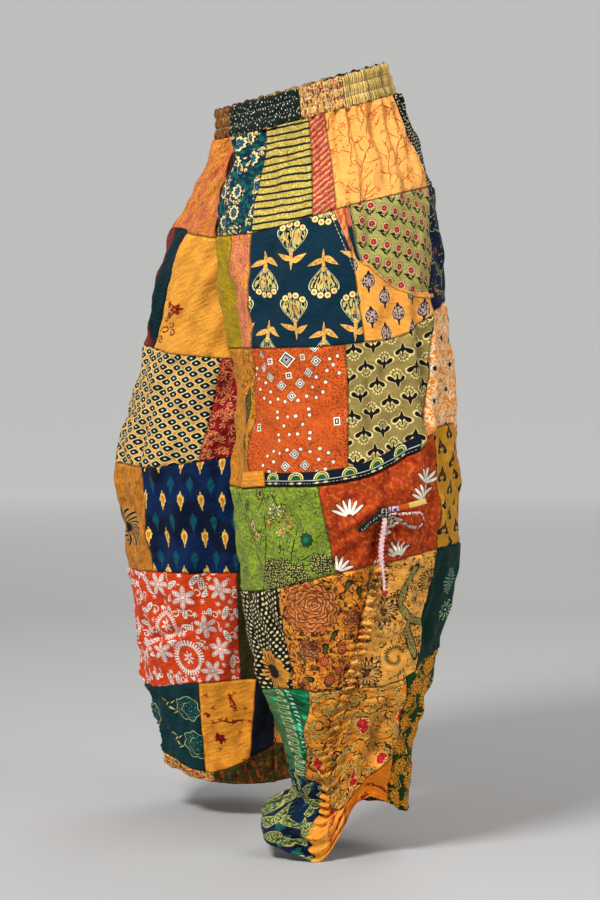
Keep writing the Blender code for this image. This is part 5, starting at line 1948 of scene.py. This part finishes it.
@printed(0x02484C, 0.16)
def teal_roses():
    """Thin cream outlines of large roses, buds and leaves on deep teal, with a few dots inside."""
    for x, y, size in ((18, 44, 20), (13, 103, 24), (96, 70, 18), (130, 120, 18)):
        rose = flower(at(x, y, 12), size, 7, 0.07)
        fill(rose, (1, 0.05, 0x105858))
        ink(0xE2DE96, ring(rose, 1, 0.5 / size, 0.45 / size))
        inner = flower(cloth.place, size * 0.62, 5, 0.1, x - 3, y + 2)
        ink(0xDCDA96, ring(inner, 1, 0.7 / size, 0.7 / size), fade(apart(cloth.place)[0], x - 8, x + 4))
        ink(0xBED6C4, within(rose, 0.86), dotted(0.55, 0.25, 5.2, 0.8))
        leaf = drops(at(x + size * 1.1, y), (6, 4, 3.2, 4.8, 60), (12, -2, 1.2, 5.6, -40),
            (3, 10, 1.3, 5.6, -60), (14, -10, 1.1, 5, 60), (2, -8, 1.1, 5, 130))
        fill(leaf, (1, 0.12, 0xE8DE8C))


@printed(0x543610, 0.2)
def plaid():
    """Brown and green brushed streaks with fine pale strokes."""
    ink(0x485016, patchy(0.5, 0.56, 16, 2, (0.6, 1.8)))
    ink(0x924A16, patchy(0.55, 0.62, 12, 2, (0.6, 2.2), 8))
    ink(0xA0803A, lines(4.6, 0.6, stretch=(0.6, 2)), patchy(0.46, 0.54, 20), 0.6)


@printed(0xECB456, 0.14)
def cream_floral():
    """Cream ground with dark vines, orange and red small flowers."""
    leafy(7, 0x40221A, 0xF6E2B2, 0.4)
    ink(0x46261A, lines(7, 1))
    head = flower(scatter(15, 0.7), 4.6, 6, 0.3)
    fill(head, (1.25, 0.1, 0xF6E2B0), (1, 0.1, 0xC84A2C))


print_cloth(vines, "navy_blooms", 0x0E284A, 0.07, 0xC4BE78, 0xDE5A3C, 34)

for leg_side in SIDES:
    for row_number in range(7):
        row_strip(leg_side, row_number)

# Pocket facings. Block-printed cotton seen in the scooped mouth of each side pocket: it is the
# pocket's inner side, sewn to the yoke and the side seam, behind the mouth's rolled edge.
FACING_SUNK = 0.0018       # how far it lies behind the panel
FACING_TUCK = 0.004        # and how far it runs in under the mouth's edge
MOUTH_EDGE = 0.0052        # width of the rolled edge


def pocket_pieces(side):
    word = SIDES[side]
    upper = ROW_LINES[side][1]
    share = np.linspace(0.0, 1.0, 61) ** 1.6
    edge_angle = 65.6 + (121.0 - 65.6) * share
    down = np.linspace(0.0, 1.0, 40)[:, None]
    angle = np.broadcast_to(edge_angle[None, :], (40, 61))
    top = line_height(upper, angle)
    low = np.minimum(line_height(POCKET_MOUTH[side], angle) - FACING_TUCK, top - 0.002)
    last = 118.6 + 5.2 * (1 - down)
    angle = angle + (last - 121.0) * share[None, :] ** 3
    height = top + (low - top) * down
    to_mouth = (height - low) + 0.0001
    sunk = -0.0004 - FACING_SUNK * np.exp(-((to_mouth / 0.030) ** 2))
    points = leg_points(side, angle, height, 0.8 * cloth_relief(side, angle, height) + sunk)
    u = np.radians(angle - 66.0) * 0.155
    from_side = np.radians(np.max(angle, axis=1)[:, None] - angle) * 0.15
    grid = {
        "points": points,
        "print": pair(u, top - height),
        "edge": pair(from_side + 0.0005, np.minimum(top - height, to_mouth) + 0.0005),
        "mirrored": side < 0,
    }
    facing = cloth_piece(f"{word}_facing_cloth", [grid], [PRINTS["facing_buti"]], CLOTH_WALL)
    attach(facing, "root")
    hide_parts(f"{word}_pocket_facing")

    # the rolled edge runs down the mouth, from the yoke to the side seam
    place = np.linspace(0.0, 1.0, 150)
    at = 65.9 + (118.2 - 65.9) * place ** 1.7
    route = pair(at, line_height(POCKET_MOUTH[side], at))
    step = np.gradient(route, axis=0) * [math.radians(1) * 0.15, 1.0]
    step /= np.linalg.norm(step, axis=1)[:, None]
    aside = np.linspace(-0.0004, MOUTH_EDGE, 9)
    angle = route[:, :1] - np.degrees(step[:, 1:] * aside[None, :] / 0.15)
    height = route[:, 1:] - step[:, :1] * aside[None, :]
    rise = 0.0016 * np.sqrt(np.clip(1 - ((aside / MOUTH_EDGE - 0.45) / 0.6) ** 2, 0, 1)) - 0.0002
    points = leg_points(side, angle, height, cloth_relief(side, angle, height) + rise[None, :])
    length = np.cumsum(np.linalg.norm(np.diff(points[:, 4], axis=0, prepend=points[:1, 4]), axis=1))
    to_side = np.minimum(np.abs(aside) + 0.0006, np.abs(MOUTH_EDGE - aside))
    grid = {
        "points": points,
        "print": pair(aside, length[:, None]),
        "edge": pair(np.broadcast_to(to_side, angle.shape), NO_EDGE),
        "mirrored": side > 0,
    }
    rolled = cloth_piece(f"{word}_pocket_edge", [grid], [PRINTS["mouth_edge"]], CLOTH_WALL)
    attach(rolled, "root")

    # topstitching follows the rolled edge, on its crown
    row = [leg_points(side, angle[:, 5], height[:, 5], cloth_relief(side, angle[:, 5], height[:, 5])
                      + rise[5] + more) for more in (0.0001, 0.0011)]
    stitches(f"{word}_pocket_stitches", [row])


for leg_side in SIDES:
    pocket_pieces(leg_side)

# Knee band. A navy strip topstitched along the left knee seam, from the inner front to the side.
BAND_FROM, BAND_TO = 12, 95
TAB_LENGTH = 0.021
TAB_FROM = -7              # a gold cotton tab covers the band's inner end


@printed(0xF2AA42, 0.12)
def gold_tab():
    _, down = apart(cloth.place)
    stitch = patchy(0.44, 0.52, 1.6, 1, (1.6, 0.5))
    ink(0xBE7428, ring(cycle(down, 5), 2.5, 0.35, 0.3), stitch)


def knee_band_piece():
    angle = np.linspace(BAND_FROM, BAND_TO, 71)[None, :] + np.zeros((9, 1))
    low = line_height(ROW_LINES[1][3], angle) + 0.0004
    wide = 0.0170 + 0.0015 * (angle - BAND_FROM) / (BAND_TO - BAND_FROM)
    share = np.array([0.0, 0.06, 0.18, 0.36, 0.5, 0.64, 0.82, 0.94, 1.0])[:, None]
    height = low + wide * (1 - share)
    rounded = 0.0009 * np.sqrt(np.clip(1 - (2 * share - 1) ** 2, 0, 1))
    lift = cloth_relief(1, angle, height) + 0.0010 + rounded
    lift = lift + 0.0004 * np.sin(np.radians(angle) * 61 + 3 * share)
    points = leg_points(1, angle, height, lift)
    u = np.radians(angle - BAND_FROM) * 0.145
    to_side = np.minimum(u, u[:, -1:] - u)
    grid = {
        "points": points,
        "print": pair(u, wide * share),
        "edge": pair(to_side, wide * np.minimum(share, 1 - share)),
    }
    band = cloth_piece("left_knee_band_cloth", [grid], [PRINTS["navy_shells"]], CLOTH_WALL)
    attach(band, "root")
    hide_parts("left_knee_band")
    row = [leg_points(1, angle[6], height[6], lift[6] + more) for more in (0.0001, 0.0011)]
    stitches("left_knee_stitches", [row])

    angle = np.linspace(TAB_FROM, BAND_FROM + 2, 21)[None, :] + np.zeros((9, 1))
    low = line_height(ROW_LINES[1][3], angle) + 0.0002
    height = low + TAB_LENGTH * (1 - share)
    rounded = 0.0008 * np.sqrt(np.clip(1 - (2 * share - 1) ** 4, 0, 1))
    under = 0.0012 * ramp(angle, BAND_FROM - 3, BAND_FROM + 1)
    points = leg_points(1, angle, height, cloth_relief(1, angle, height) + 0.0016 + rounded + under)
    u = np.radians(angle - TAB_FROM) * 0.145
    grid = {
        "points": points,
        "print": pair(u, TAB_LENGTH * share),
        "edge": pair(np.minimum(u, u[:, -1:] - u), TAB_LENGTH * np.minimum(share, 1 - share)),
    }
    tab = cloth_piece("left_knee_tab", [grid], [PRINTS["gold_tab"]], CLOTH_WALL)
    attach(tab, "root")


knee_band_piece()

# Drawstring channels. A casing down each shin, sewn behind the patches and drawn up by the
# string, so that the cloth over it ruches from the bow to the hem.
CHANNEL_WIDTH = 0.0155
CHANNEL_ROWS = 460
CHANNEL_PRINTS = {
    1: ["red_fans", "paisley_gold", "gold_swirls", "yellow_red"],
    -1: ["red_fans", "teal_stars", "teal_roses", "cream_floral"],
}
RUCHES = 47


def channel_piece(side):
    word = SIDES[side]
    length = CHANNEL_TOP + 0.006 - HEM
    down = np.linspace(0.0, 1.0, CHANNEL_ROWS)[:, None]
    across = np.linspace(-1.0, 1.0, 15)[None, :]
    height = CHANNEL_TOP + 0.006 - length * down + 0 * across
    place = RUCHES * 2 * math.pi * down
    place = place + 1.3 * np.sin(9 * down * math.pi) + 0.9 * np.sin(23 * down * math.pi + 1)
    lean = 0.9 * np.sin(14 * down * math.pi) + 0.5 * np.sin(31 * down * math.pi)
    ruche = np.cos(place + lean * across + 0.7 * across**2)
    size = 0.0027 + 0.0009 * np.sin(37 * down + 1) + 0.0005 * np.sin(71 * down)
    half = CHANNEL_WIDTH / 2 * (1 + 0.10 * ruche + 0.06 * np.sin(29 * down))
    dome = np.clip(1 - across**2, 0, 1)
    lift = 0.0003 + 0.0040 * dome ** 0.7 + size * ruche * (0.25 + 0.75 * dome ** 0.5)
    middle = read_table(CHANNEL_PATH, height)[..., 0]
    radius = read_table(SECTIONS[side], height)[..., 2]
    angle = middle + np.degrees(half * across / radius)
    points = leg_points(side, angle, height, cloth_relief(side, angle, height) + lift)
    u = CHANNEL_WIDTH * (across + 1) * 1.1 + 0 * down
    v = length * down * 1.75 + 0 * across
    cuts = [0]
    for row in (4, 5, 6):
        line = line_height(ROW_LINES[side][row], middle[:, 7])
        cuts.append(int(np.argmin(np.abs(height[:, 7] - line))))
    cuts.append(CHANNEL_ROWS - 1)
    grids = []
    prints = CHANNEL_PRINTS[side]
    for k, (start, end) in enumerate(zip(cuts[:-1], cuts[1:])):
        part = slice(start, end + 1)
        to_side = CHANNEL_WIDTH / 2 * (1 - np.abs(across)) + 0 * down[part]
        to_end = length * np.minimum(down[part] - down[start], down[end] - down[part]) + 0 * across
        grids.append({
            "points": points[part],
            "print": pair(u[part], v[part]),
            "edge": pair(to_side + 0.0006, to_end),
            "material": k,
            "mirrored": side < 0,
        })
    piece = cloth_piece(f"{word}_channel_cloth", grids, [PRINTS[p] for p in prints], CLOTH_WALL)
    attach(piece, "root")
    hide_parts(f"{word}_drawstring_channel")


for leg_side in SIDES:
    channel_piece(leg_side)
